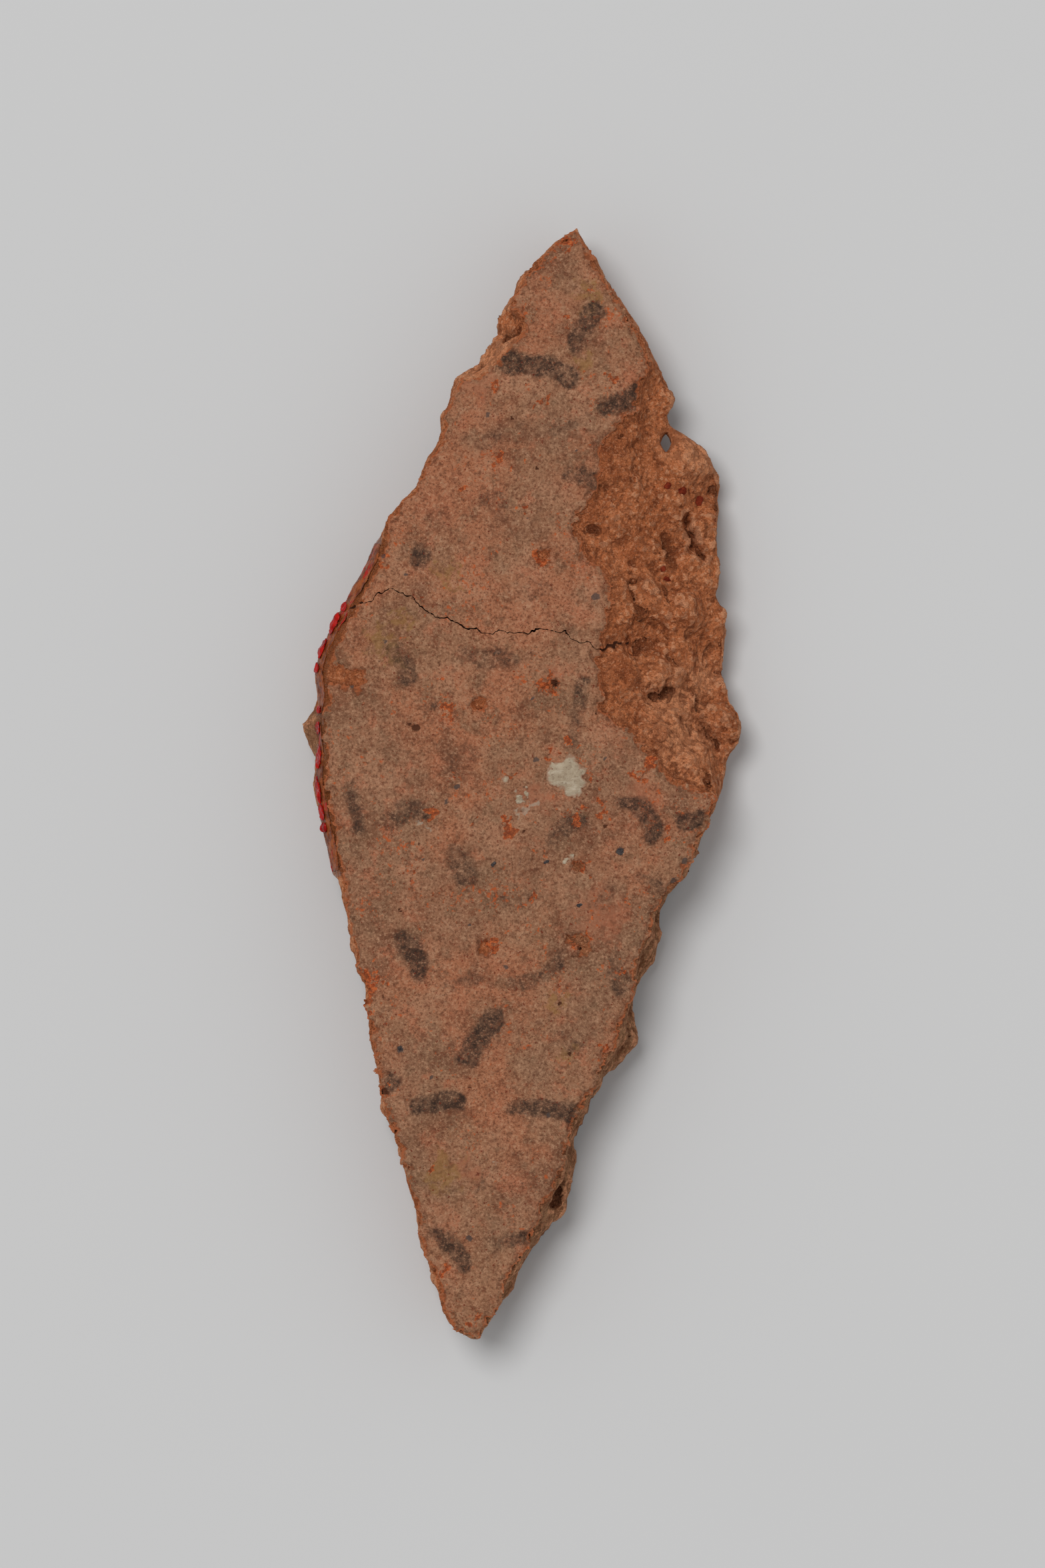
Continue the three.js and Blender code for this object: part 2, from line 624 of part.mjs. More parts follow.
// A drip: a drawn-out drop on the film, seated on it by cutting away what lies under the film's skin
function dripSolid({ alongShare, lengthShare }, seat) {
  const at = THREE.MathUtils.lerp(filmRun.first, filmRun.last, alongShare);
  const index = Math.floor(at);
  const normal = breakNormal(index, 1).lerp(breakNormal(index + 1, 1), at - index).normalize();
  const run = columnAt(index + 1).places[1].clone().sub(columnAt(index).places[1]);
  const down = run.clone().cross(normal).normalize();
  const along = normal.clone().cross(down);
  const place = breakPlace(between(columnAt(index), columnAt(index + 1), at - index), dripDepthShare);
  place.addScaledVector(normal, seatGap + film.thickness);
  const ball = new THREE.SphereGeometry(1, 10, 7);
  ball.scale((lengthShare * filmLength()) / 2, drip.width / 2, drip.bulge);
  ball.applyMatrix4(new THREE.Matrix4().makeBasis(along, down, normal));
  ball.translate(place.x, place.y, place.z);
  return solidFrom(ball).subtract(seat);
}

// The places where the lower arris touches what the sherd rests on, and the plane worn level through them
function restHeight() {
  const last = ringShares.length - 1;
  const arris = columns.map((column) => {
    const place = column.places[last];
    return { x: place.x, y: place.y, z: surfaceHeight(place.x, place.y, innerRise(place.y)) };
  });
  const farShare = 0.42;
  const ends = [
    arris.filter((place) => place.y > farShare * sherdLength),
    arris.filter((place) => place.y < -farShare * sherdLength),
    arris.filter((place) => place.x > farShare * sherdWidth),
    arris.filter((place) => place.x < -farShare * sherdWidth),
  ];
  return Math.max(...ends.map((end) => Math.min(...end.map((place) => place.z)))) + restWear;
}

function groundBlock(height) {
  const deep = vessel.wall + overrun;
  const block = new THREE.BoxGeometry(2 * sherdWidth, 2 * sherdLength, deep);
  block.translate(0, 0, height - deep / 2);
  return solidFrom(block);
}

// The spur's hole: an upright slot with rounded ends, through the whole wall
function spurHoleCut() {
  const centre = planPlace(spurHoleShares);
  const outline = raggedOutline(new THREE.Vector2(), spurHole.width, spurHole.height, 21);
  const turned = outline.map((place) => place.rotateAround(new THREE.Vector2(), spurHole.turn).add(centre));
  return uprightPrism(turned);
}

// The scar under the spur, where the inner face has flaked away and lets light in below the hole
function underScarCut() {
  const plan = planPlace(underScarShares);
  const scar = new THREE.SphereGeometry(1, 14, 9);
  scar.scale(underScar.across / 2, underScar.along / 2, underScar.height);
  scar.translate(plan.x, plan.y, surfaceHeight(plan.x, plan.y, -vessel.wall));
  return solidFrom(scar);
}

// Making the pieces, from the body outwards
const none = () => 0;
const blade = crackBlade();
const filmSeat = seatGap + film.thickness;
const coatLow = slip.bond;
const coatHigh = slip.bond + slip.thickness;

const grogSolids = [];
let body = thrownRing(innerRise, none, facet.ridge).intersect(brokenBlock());
body = body.subtract(blade).subtract(spurHoleCut()).subtract(underScarCut());
for (const [i, pit] of pits.entries()) {
  const place = spallPlace(pit.alongShare, pit.acrossShare);
  body = body.subtract(grainSolid(place, pit.sizeShares, 31 + i, 0, pit.turn));
}
for (const [i, grog] of grogGrains.entries()) {
  const place = spallPlace(grog.alongShare, grog.acrossShare);
  grogSolids.push(grainSolid(place, grog.sizeShares, 41 + i, 0, 0));
  body = body.subtract(grainSolid(place, grog.sizeShares, 41 + i, seatGap, 0));
}

let coat = thrownRing(() => coatLow, () => coatHigh, facet.along).intersect(uprightPrism(slipOutline()));
coat = coat.subtract(uprightPrism(leftFlakeShares.map(planPlace)));
for (const [i, scar] of flakes.entries()) {
  const width = scar.sizeShare * flake.size;
  coat = coat.subtract(uprightPrism(raggedOutline(planPlace(scar.placeShares), width, width, 51 + i)));
}

const gritSolids = [];
for (const [i, grit] of faceGrits.entries()) {
  const sunk = (grit.sizeShares[2] * grain.size) / 4;
  const place = facePlace(grit.placeShares, coatHigh - sunk);
  gritSolids.push(grainSolid(place, grit.sizeShares, 61 + i, 0, 0));
  const socket = grainSolid(place, grit.sizeShares, 61 + i, seatGap, 0);
  body = body.subtract(socket);
  coat = coat.subtract(socket);
}
const ground = restHeight();
body = body.subtract(groundBlock(ground));
coat = coat.subtract(blade);
const upperGround = aboveCrack();
const slipAbove = coat.intersect(upperGround);
const slipBelow = coat.subtract(upperGround);

const limeLow = coatHigh + seatGap;
const limeHigh = limeLow + lime.thickness;
const limeRing = thrownRing(() => limeLow, () => limeHigh, facet.along);
function limeSolid(placeShares, width, length, seed) {
  return limeRing.intersect(uprightPrism(raggedOutline(planPlace(placeShares), width, length, seed)));
}

const filmMiddle = stretchStart.knob + 1;
const filmUpper = breakShell(filmMiddle + 1, filmRun.last, filmRingCount, seatGap, filmSeat);
const filmLower = breakShell(filmRun.first, filmMiddle, filmRingCount, seatGap, filmSeat);
const deep = -vessel.wall / 4;
const dripSeat = breakShell(filmRun.first - 2, filmRun.last + 2, filmRingCount + 1, deep, filmSeat + seatGap);

// Colours and finishes
function finish(color, roughness) {
  return new THREE.MeshStandardMaterial({ color, roughness, metalness: 0 });
}

const sherdPart = new THREE.Group();

function addPiece(name, solid, material) {
  const mesh = new THREE.Mesh(geometryFrom(solid), material);
  mesh.name = name;
  sherdPart.add(mesh);
}

addPiece("sherd_body", body, finish(0xa56440, 0.9));
addPiece("slip_above_crack", slipAbove, finish(0x8e6048, 0.75));
addPiece("slip_below_crack", slipBelow, finish(0x8c5d45, 0.75));
addPiece("lime_patch", limeSolid(limePatchShares, lime.patchWidth, lime.patchHeight, 71), finish(0xa0907b, 0.9));
limeSpecks.forEach((speck, i) => {
  const width = speck.sizeShare * lime.speckWidth;
  const solid = limeSolid(speck.placeShares, width, width, 72 + i);
  addPiece(`lime_speck_${i + 1}`, solid, finish(0xa79a84, 0.9));
});
addPiece("clear_film_upper", filmUpper, finish(0xc08070, 0.2));
addPiece("clear_film_lower", filmLower, finish(0xc08070, 0.2));
drips.forEach((entry, i) => {
  addPiece(`red_drip_${i + 1}`, dripSolid(entry, dripSeat), finish(0xa80c06, 0.15));
});
grogSolids.forEach((solid, i) => {
  addPiece(`grog_grain_${i + 1}`, solid, finish(0x74301c, 0.8));
});
gritSolids.forEach((solid, i) => {
  addPiece(`face_grit_${i + 1}`, solid, finish(0x3c3a3c, 0.7));
});

// The origin is under the middle of the whole part, level with what it rests on.
const box = new THREE.Box3().setFromObject(sherdPart, true);
const middle = box.getCenter(new THREE.Vector3());
sherdPart.position.set(-middle.x, -middle.y, -box.min.z);

export default sherdPart;
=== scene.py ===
# %% [markdown]
# # A slipped potsherd
# The real thing is one fragment of a thrown clay vessel, broken all round, with a thin brown-rose slip on its
# outer face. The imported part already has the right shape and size: a broken body, two pieces of slip parted
# by a crack, crusts of lime, a glossy film with red drips on the left break, and grains bedded in the clay.
# What is added here is what a close look shows: the rough break, the worn slip and every finish.

import json
import math
from contextlib import contextmanager

import bpy
import numpy as np
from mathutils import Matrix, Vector, noise
from mathutils.bvhtree import BVHTree

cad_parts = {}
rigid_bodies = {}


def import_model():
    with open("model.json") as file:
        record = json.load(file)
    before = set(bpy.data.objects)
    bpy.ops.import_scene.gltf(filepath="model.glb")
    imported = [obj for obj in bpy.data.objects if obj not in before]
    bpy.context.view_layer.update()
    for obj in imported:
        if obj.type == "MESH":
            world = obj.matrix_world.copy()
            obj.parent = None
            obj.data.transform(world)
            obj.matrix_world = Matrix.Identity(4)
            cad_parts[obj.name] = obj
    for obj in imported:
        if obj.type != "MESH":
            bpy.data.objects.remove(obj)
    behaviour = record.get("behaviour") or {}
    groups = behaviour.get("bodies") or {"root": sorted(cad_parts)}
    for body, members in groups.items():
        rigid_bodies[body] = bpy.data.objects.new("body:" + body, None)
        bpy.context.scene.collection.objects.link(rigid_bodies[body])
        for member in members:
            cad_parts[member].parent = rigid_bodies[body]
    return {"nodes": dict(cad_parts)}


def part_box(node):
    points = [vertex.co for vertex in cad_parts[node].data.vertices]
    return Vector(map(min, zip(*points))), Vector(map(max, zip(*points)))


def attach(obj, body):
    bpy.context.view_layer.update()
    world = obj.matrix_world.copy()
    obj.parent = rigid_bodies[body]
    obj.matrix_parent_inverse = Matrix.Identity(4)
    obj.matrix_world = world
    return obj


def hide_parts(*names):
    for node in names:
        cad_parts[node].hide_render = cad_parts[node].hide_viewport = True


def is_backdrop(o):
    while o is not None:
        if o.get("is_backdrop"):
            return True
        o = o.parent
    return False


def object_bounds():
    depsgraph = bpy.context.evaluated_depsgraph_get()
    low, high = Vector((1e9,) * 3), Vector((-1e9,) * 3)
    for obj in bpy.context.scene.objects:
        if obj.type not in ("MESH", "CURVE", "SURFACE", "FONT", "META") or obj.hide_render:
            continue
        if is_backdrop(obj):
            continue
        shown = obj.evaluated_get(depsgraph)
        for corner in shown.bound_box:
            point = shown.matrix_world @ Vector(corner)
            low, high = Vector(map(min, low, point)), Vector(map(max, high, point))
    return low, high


noise.seed_set(7)  # unset, noise vectors start from the clock and no two runs agree
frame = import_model()
cad_low, cad_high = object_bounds()
MM = 0.001
print("CAD box in mm:", [round(side / MM, 2) for side in cad_high - cad_low])

# %% [markdown]
# ## Working on one piece at a time
# An operator acts on everything that is selected, and a CAD node may not be changed. So each finished piece
# starts as a copy of its node's mesh, its loose triangles merged, or as a new grid, and is worked on alone.

# %% Copy, choose and apply


def select_only(piece):
    """Selects one piece and makes it the one that operators act on"""
    bpy.ops.object.select_all(action="DESELECT")
    piece.select_set(True)
    bpy.context.view_layer.objects.active = piece


def new_object(name, data):
    """An object that is in the scene"""
    made = bpy.data.objects.new(name, data)
    bpy.context.scene.collection.objects.link(made)
    return made


@contextmanager
def editing(piece, chosen=None, parts="vertices"):
    """A piece in edit mode, with the chosen vertices or polygons selected, or all of it"""
    select_only(piece)
    bpy.context.tool_settings.mesh_select_mode = (parts == "vertices", False, parts == "polygons")
    bpy.ops.object.mode_set(mode="EDIT")
    bpy.ops.mesh.select_all(action="SELECT" if chosen is None else "DESELECT")
    if chosen is not None:
        bpy.ops.object.mode_set(mode="OBJECT")
        getattr(piece.data, parts).foreach_set("select", np.asarray(chosen, bool))
        bpy.ops.object.mode_set(mode="EDIT")
    yield
    bpy.ops.object.mode_set(mode="OBJECT")


def copy_of(node, name):
    """A new piece with a copy of a CAD node's mesh, its loose triangles merged"""
    piece = new_object(name, frame["nodes"][node].data.copy())
    piece.data.materials.clear()
    with editing(piece):
        bpy.ops.mesh.remove_doubles(threshold=0.001 * MM)
    return piece


def split_chosen(piece, chosen):
    """Cuts the chosen polygons in four"""
    with editing(piece, chosen, "polygons"):
        bpy.ops.mesh.subdivide(number_cuts=1)


def apply_modifier(piece, kind, **settings):
    """Adds a modifier with these settings and applies it at once"""
    select_only(piece)
    modifier = piece.modifiers.new(kind, kind)
    for name, value in settings.items():
        setattr(modifier, name, value)
    bpy.ops.object.modifier_apply(modifier=modifier.name)


def stand_in(piece, node):
    """Puts a finished piece in the place of its CAD node"""
    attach(piece, "root")
    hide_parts(node)


# %% [markdown]
# ## Reading and writing many vertices
# Moving many vertices one by one is slow, so numbers pass between Blender and numpy as whole rows.

# %% Rows of numbers


def rows_of(parts, name, width=3):
    """One value of every vertex or polygon, one row each"""
    flat = np.empty(width * len(parts), np.float32)
    parts.foreach_get(name, flat)
    return flat.reshape(-1, width).astype(float)


def places(piece):
    return rows_of(piece.data.vertices, "co")


def put(piece, rows):
    """Moves the vertices to these places"""
    piece.data.vertices.foreach_set("co", rows.astype(np.float32).ravel())
    piece.data.update()


def normals(piece):
    return rows_of(piece.data.vertex_normals, "vector")


def polygons_of(piece):
    """The centres and the directions of the polygons"""
    return rows_of(piece.data.polygons, "center"), rows_of(piece.data.polygons, "normal")


def edges_of(piece):
    """The numbers of the two vertices of every edge"""
    return rows_of(piece.data.edges, "vertices", 2).astype(int)


def store(piece, name, values):
    """Keeps one number per vertex under a name that a material can read"""
    held = piece.data.attributes.get(name) or piece.data.attributes.new(name, "FLOAT", "POINT")
    held.data.foreach_set("value", np.asarray(values, np.float32))


def stored(piece, name):
    return rows_of(piece.data.attributes[name].data, "value", 1)[:, 0]


def ease(value, low, high):
    """Rises smoothly from 0 at low to 1 at high"""
    part = np.clip((value - low) / (high - low), 0, 1)
    return part * part * (3 - 2 * part)


def wobbled(rows, size, reach):
    """Places in plan shifted by smooth noise, so that what is measured from them turns ragged"""
    shifts = [noise.noise_vector(Vector((x, y, 0)) / (size * MM))[:2] for x, y in rows[:, :2]]
    return rows[:, :2] + reach * MM * np.array(shifts).reshape(-1, 2)


def nearness(plan, marks):
    """1 in a mark's middle, 0.5 at its rim and 0 at twice its size, for the nearest of the marks"""
    best = np.zeros(len(plan))
    for x, y, radius in marks:
        off = np.hypot(plan[:, 0] - x * MM, plan[:, 1] - y * MM) / (radius * MM)
        best = np.maximum(best, np.clip(1 - 0.5 * off, 0, 1))
    return best


# %% [markdown]
# ## The curve of the wall
# The outer face is part of a vessel about 240 mm across, so it curves across the sherd and a little along
# it. Heights that follow this curve tell how deep a place on the break lies in the wall.

# %% Height of the outer face
VESSEL_RADIUS = 120 * MM
PROFILE_RADIUS = 700 * MM
SLIP_RISE = 0.35 * MM
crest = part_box("slip_below_crack")[1].z - SLIP_RISE


def face_height(rows, rise=0.0):
    """Height of the vessel's outer face at places in plan, raised by so much"""
    round_here = VESSEL_RADIUS - PROFILE_RADIUS + np.sqrt(PROFILE_RADIUS**2 - rows[:, 1] ** 2)
    return np.sqrt((round_here + rise) ** 2 - rows[:, 0] ** 2) - VESSEL_RADIUS + crest


print("Crest of the clay face at", round(crest / MM, 2), "mm")

# %% [markdown]
# ## The crack
# A hairline crack runs from the left break to the spall. It is one line, given as places in millimetres, that
# the clay's groove and both pieces of slip follow. Noise shifts what is measured from it, so that it wanders
# as a crack does round the grains.

# %% Distances from drawn lines
CRACK = [
    (-14.5, 13.2), (-12.1, 13.6), (-10.7, 14.2), (-9.6, 14.7), (-8.2, 14.3), (-8, 13.7), (-6.6, 12.6),
    (-5, 12.3), (-3.9, 11.8), (-2.6, 11.3), (-0.9, 11.7), (0.8, 11.6), (2.2, 11.7), (3.3, 11.4),
    (3.9, 10.9), (5, 10.6), (6, 10.3), (8.1, 10.7),
]  # fmt: skip
# Half the width in mm, what each opening adds to it, and each opening's place across and width
HAIRLINE, OPENING = 0.037, 0.03
OPENINGS = [(-4.3, 0.8), (0.8, 0.6)]


def off_line(rows, line):
    """Distances in plan from a line through points, below zero to the right of its run"""
    points = [np.array(point) * MM for point in line]
    least, side = np.full(len(rows), 1.0), np.zeros(len(rows))
    for first, last in zip(points, points[1:]):
        run = last - first
        off = rows[:, :2] - first
        turn = (run[0] * off[:, 1] - run[1] * off[:, 0]) / math.hypot(*run)
        off = off - np.clip(off @ run / (run @ run), 0, 1)[:, None] * run
        away = np.hypot(off[:, 0], off[:, 1])
        nearer = (away < least - 1e-9) | ((away < least + 1e-9) & (np.abs(turn) > np.abs(side)))
        least, side = np.where(nearer, away, least), np.where(nearer, turn, side)
    return least * np.sign(side)


def off_crack(rows):
    """Distances above the crack, below zero under it"""
    plan = wobbled(wobbled(rows, 0.9, 0.4), 0.3, 0.16)
    return off_line(plan, CRACK)


def crack_half(rows):
    """Half the crack's width, which opens at two places"""
    half = np.full(len(rows), HAIRLINE)
    for middle, width in OPENINGS:
        half += OPENING * np.exp(-(((rows[:, 0] / MM - middle) / width) ** 2))
    return MM * half


print("Crack length in mm:", round(sum(math.dist(a, b) for a, b in zip(CRACK, CRACK[1:])), 1))

# %% [markdown]
# ## The fired clay body
# Coarse red clay breaks in lobes and crumbs, which need a fine skin. A voxel remesh gives an even one. The
# break is then cut finer twice, the second time only where it looks up, and so is a strip along the crack.
# The cuts leave corners where only two edges meet, and those are dissolved.

# %% Even skin, finer on the break and along the crack
VOXEL = 0.42 * MM
FACE_DEPTH = 0.12 * MM  # down to here the skin is outer face, and below it is break
FINE_DEPTH = 5.6 * MM  # below this the break stays coarse
sherd = copy_of("sherd_body", "fired_clay_body")
apply_modifier(sherd, "REMESH", mode="VOXEL", voxel_size=VOXEL)
for upward in (-2, 0.5):
    centres, ways = polygons_of(sherd)
    depth = face_height(centres) - centres[:, 2]
    split_chosen(sherd, (depth > FACE_DEPTH) & (depth < FINE_DEPTH) & (ways[:, 2] > upward))
for reach in (0.7, 0.4):
    centres, _ = polygons_of(sherd)
    depth = face_height(centres) - centres[:, 2]
    split_chosen(sherd, (np.abs(off_line(centres, CRACK)) < reach * MM) & (np.abs(depth) < FACE_DEPTH))
with editing(sherd, np.bincount(edges_of(sherd).ravel()) == 2):
    bpy.ops.mesh.dissolve_verts()
print("Clay body faces:", len(sherd.data.polygons))

# %% [markdown]
# ## Lobes, clefts and pits of the break
# The break has features that the eye picks out, most of them in its big spall: a deep cleft, a notch under
# the spur, a cavity at the right. Each is pressed in or drawn out by moving the vertices along a short line,
# with proportional editing to carry the skin round it.

# %% Press and draw the features of the break
HOLD = 0.12  # vertices this close to a line in mm are taken hold of
# Each row: the line in plan, how far round it the skin follows, and how far it rises, in mm
FEATURES = [
    ([(-0.3, 34.2), (-1.1, 33.8)], 1.4, -1.2),
    ([(14.2, 22.3), (15.4, 22)], 0.9, -0.8),
    ([(12.6, 20.4), (12.6, 19.4), (13, 18), (13.7, 17.1)], 0.55, -0.9),
    ([(13.9, 19.6), (14.2, 18.4)], 1.2, 0.8),
    ([(8.2, 15.3), (8.1, 14.6)], 0.6, -0.5),
    ([(8.3, 14.2), (8.5, 13.6), (9, 13.2)], 0.6, -0.6),
    ([(9.1, 16.2), (9.6, 15.2)], 1, 0.6),
    ([(9.6, 6.8), (10.3, 6.8), (11.2, 7.2)], 0.7, -0.8),
    ([(10.4, 8.5), (11.4, 8.3)], 1.3, 0.9),
    ([(11, 9.8), (11.5, 9)], 0.6, -0.6),
    ([(5, 19.2), (5.6, 19)], 0.35, -0.35),
    ([(13.8, 4.3), (14.3, 3.6), (14.8, 3.1)], 0.9, -1),
    ([(14.7, 8.6), (15.1, 8.6)], 1.1, -0.6),
    ([(15.9, 4.9), (16.2, 4)], 1, 0.6),
    ([(9.8, 26.2), (10.1, 24.4)], 1.2, -0.5),
    ([(12.3, 25.6), (13.5, 24.2)], 1.5, 0.8),
    ([(7.9, 23), (8.3, 21.9)], 1.3, 0.5),
    ([(9.5, 17.6), (10.6, 16.9)], 1.1, 0.6),
    ([(10.9, 18.6), (11.5, 16.6)], 0.9, -0.4),
    ([(12.2, 15), (12.9, 12.6)], 1.4, 0.7),
    ([(9.9, 12.4), (10.9, 11.2)], 1.1, -0.5),
    ([(7.2, 9.4), (8.3, 8.2)], 1, 0.5),
    ([(13, 6.4), (13.9, 5.8)], 1, 0.6),
    ([(11.9, 5.2), (12.8, 4.2)], 0.8, -0.4),
    ([(10.6, 4.1), (11.6, 3.2)], 0.9, 0.5),
    ([(8.6, 10.5), (9.4, 10.6), (10.2, 10.9)], 0.4, -0.25),
    ([(2.8, -30.7), (2.6, -31.4)], 0.6, -0.9),
]  # fmt: skip


def draw_skin(piece, line, reach, rise):
    """Lifts the skin along a line in plan, or sinks it to a sharp cleft where rise is below zero"""
    plan = wobbled(places(piece), 0.6, 0.35)
    chosen = (np.abs(off_line(plan, line)) < HOLD * MM) & (normals(piece)[:, 2] > 0.1)
    with editing(piece, chosen):
        if chosen.any():
            bpy.ops.transform.translate(
                value=(0, 0, rise * MM),
                use_proportional_edit=True,
                proportional_size=reach * MM,
                proportional_edit_falloff="SHARP" if rise < 0 else "SMOOTH",
            )
    return int(chosen.sum())


touched = [draw_skin(sherd, *feature) for feature in FEATURES]
print("Features:", len(touched), "with", sum(touched), "vertices taken hold of")

# %% [markdown]
# ## Crumbly relief
# Noise of many sizes displaces the skin, from lumps of 4 mm down to single grains. Three vertex groups say
# where: "lobes" is the break that looks up, "sides" its steep faces away from the spall, and "broken" all of
# it. They fade out at the slip's edge and on the calm inner face, and two of them at the film. The thin tips
# are smoothed afterwards, so that they don't end in spikes, and what the sherd rests on is pressed level.

# %% Roughen the break and groove the crack
# Each row: vertex group, size and height in mm, and the kind of noise where it isn't the cloudy one
RELIEF = [
    ("sides", 3.6, 1.6),
    ("sides", 1.8, -0.6, "VORONOI_F1"),
    ("lobes", 3.2, 1.2),
    ("lobes", 2.3, -0.8, "VORONOI_F1"),
    ("lobes", 1.1, 0.42),
    ("broken", 1.5, 0.3),
    ("lobes", 0.7, 0.16, "VORONOI_F2_F1"),
    ("broken", 0.5, 0.18),
    ("broken", 0.24, 0.12),
]
SPUR_HOLE = (11.2, 25.7)
TIPS = [(4.1, 41.7, 1.3), (-3.3, -41.9, 1.2), (15.7, 22.2, 0.9)]
GROOVE_DEPTH = 0.12 * MM


def weigh(piece, name, weights):
    """A vertex group with one weight per vertex"""
    group = piece.vertex_groups.new(name=name)
    for index in np.flatnonzero(weights > 0.01):
        group.add([int(index)], float(weights[index]), "REPLACE")


def roughen(piece, group, size, height, basis="IMPROVED_PERLIN", octaves=0, direction="NORMAL"):
    """Displaces the piece by noise of one size, and more inwards than outwards on the sides"""
    grain = bpy.data.textures.new(f"{basis} {size}", "CLOUDS")
    grain.noise_basis = basis
    grain.noise_scale = size * MM
    grain.noise_depth = octaves
    level = 0.5 + math.copysign(0.2 if group == "sides" else 0, height)
    settings = {"texture": grain, "texture_coords": "LOCAL", "strength": height * MM, "mid_level": level}
    apply_modifier(piece, "DISPLACE", vertex_group=group, direction=direction, **settings)


def tree_of(*pieces, kept=None):
    """A finder for the nearest place on several meshes, or on the kept polygons of one"""
    corners, faces = [], []
    for piece in pieces:
        faces += [[len(corners) + index for index in face.vertices] for face in piece.data.polygons]
        corners += [vertex.co.copy() for vertex in piece.data.vertices]
    if kept is not None:
        faces = [face for face, stays in zip(faces, kept) if stays]
    return BVHTree.FromPolygons(corners, faces)


FILM = ("clear_film_upper", "clear_film_lower")
film_shell = tree_of(*(frame["nodes"][node] for node in FILM))


def by_film(rows):
    """1 against the film on the left break, 0 where it is 1 mm away"""
    near = np.zeros(len(rows))
    for index in np.flatnonzero(rows[:, 0] < -7 * MM):
        away = film_shell.find_nearest(Vector(rows[index]))[3]
        near[index] = 1 - away / MM
    return ease(near, 0.1, 0.7)


rows, ways = places(sherd), normals(sherd)
depth, filmed = face_height(rows) - rows[:, 2], by_film(rows)
free = ease(depth, -0.05 * MM, 0.35 * MM) * (1 - 0.85 * ease(depth, 7.1 * MM, 7.6 * MM))
free *= ease(np.hypot(*(rows[:, :2] - np.array(SPUR_HOLE) * MM).T), 0.9 * MM, 2 * MM)
steep = ease(depth, 0.8 * MM, 2.5 * MM) * (1 - ease(np.abs(ways[:, 2]), 0.3, 0.5))
off_spall = np.maximum(ease(-rows[:, 1], 0, 3 * MM), ease(-rows[:, 0], -4 * MM, 0))
off_lump = ease(rows[:, 0], -15.2 * MM, -14 * MM)
weigh(sherd, "lobes", free * ease(ways[:, 2], 0.25, 0.75))
weigh(sherd, "broken", free * (1 - 0.6 * filmed))
weigh(sherd, "sides", free * steep * off_spall * (1 - filmed) * off_lump)
for row in RELIEF:
    roughen(sherd, *row)
with editing(sherd, nearness(places(sherd), TIPS) > 0.45):
    bpy.ops.mesh.vertices_smooth(factor=0.5, repeat=8)
rows = places(sherd)
groove = ease(crack_half(rows) + 0.05 * MM - np.abs(off_crack(rows)), -0.05 * MM, 0.05 * MM)
rows[:, 2] -= GROOVE_DEPTH * groove * (np.abs(face_height(rows) - rows[:, 2]) < 0.2 * MM)
rows[:, 2] = np.maximum(rows[:, 2], 0)
put(sherd, rows)
store(sherd, "crack", groove)
print("Clay body box in mm:", np.ptp(rows, axis=0).round(5) / MM)

# %% [markdown]
# ## Hollows and ridges
# Hollows are painted darker, partly as dust and partly as painted shade, while ridges are painted paler,
# partly as rubbed wear and partly as painted highlight. The difference between the skin and a smoothed copy
# of it says which is which, and the finish reads it as one number per vertex. More such numbers say where the
# skin is close to the slip, on the inner face, buff, varnished or pale.

# %% Measure hollows and mark places
LUMP = (-16.2, 3.6)
PALE = [
    (12.2, 3.4, 2.6), (11.3, 6.2, 2.2), (13.4, 25, 1.8), (13.6, 8, 1.4), (-1.2, 32.9, 1.2),
    (-2.6, 32.2, 1.3), (-3.9, 31.2, 1.2),
]  # fmt: skip


def hollowness(piece, rounds, full):
    """0.5 for even skin, 1 where it lies the full depth below its smoothed surroundings, 0 for as high"""
    first, last = edges_of(piece).T
    rows = places(piece)
    count = len(rows)
    share = np.maximum(np.bincount(first, minlength=count) + np.bincount(last, minlength=count), 1)
    soft = rows.copy()
    for _ in range(rounds):
        for axis in range(3):
            line = soft[:, axis]
            total = np.bincount(first, line[last], count) + np.bincount(last, line[first], count)
            soft[:, axis] = total / share
    sunk = np.einsum("ij,ij->i", soft - rows, normals(piece))
    return np.clip(0.5 + 0.5 * sunk / (full * MM), 0, 1)


rows, ways = places(sherd), normals(sherd)
depth = face_height(rows) - rows[:, 2]
store(sherd, "hollow", hollowness(sherd, 5, 0.06))
store(sherd, "wide_hollow", hollowness(sherd, 40, 0.45))
store(sherd, "skin", 1 - ease(depth, 0.1 * MM, 0.5 * MM))
store(sherd, "inner", ease(depth, 6.9 * MM, 7.5 * MM) * ease(-ways[:, 2], 0.3, 0.8))
off_lump = np.hypot(*(rows[:, :2] - np.array(LUMP) * MM).T)
lower_right = ease(-rows[:, 1], 1 * MM, 9 * MM) * ease(rows[:, 0] - 0.2 * rows[:, 1], 2 * MM, 5 * MM)
store(sherd, "buff", np.maximum(lower_right, 1 - ease(off_lump, 1.6 * MM, 3 * MM)))
store(sherd, "varnish", by_film(rows))
store(sherd, "pale", nearness(rows, PALE))
print("Hollow vertices:", int((stored(sherd, "hollow") > 0.65).sum()), "of", len(rows))

# %% [markdown]
# ## Mixing a finish
# Every finish is a small tree of nodes. These helpers lay down the same few moves each time: noise of a
# size in millimetres, a soft step, scattered ragged spots, and a colour laid over the tone so far.

# %% Helpers for finishes


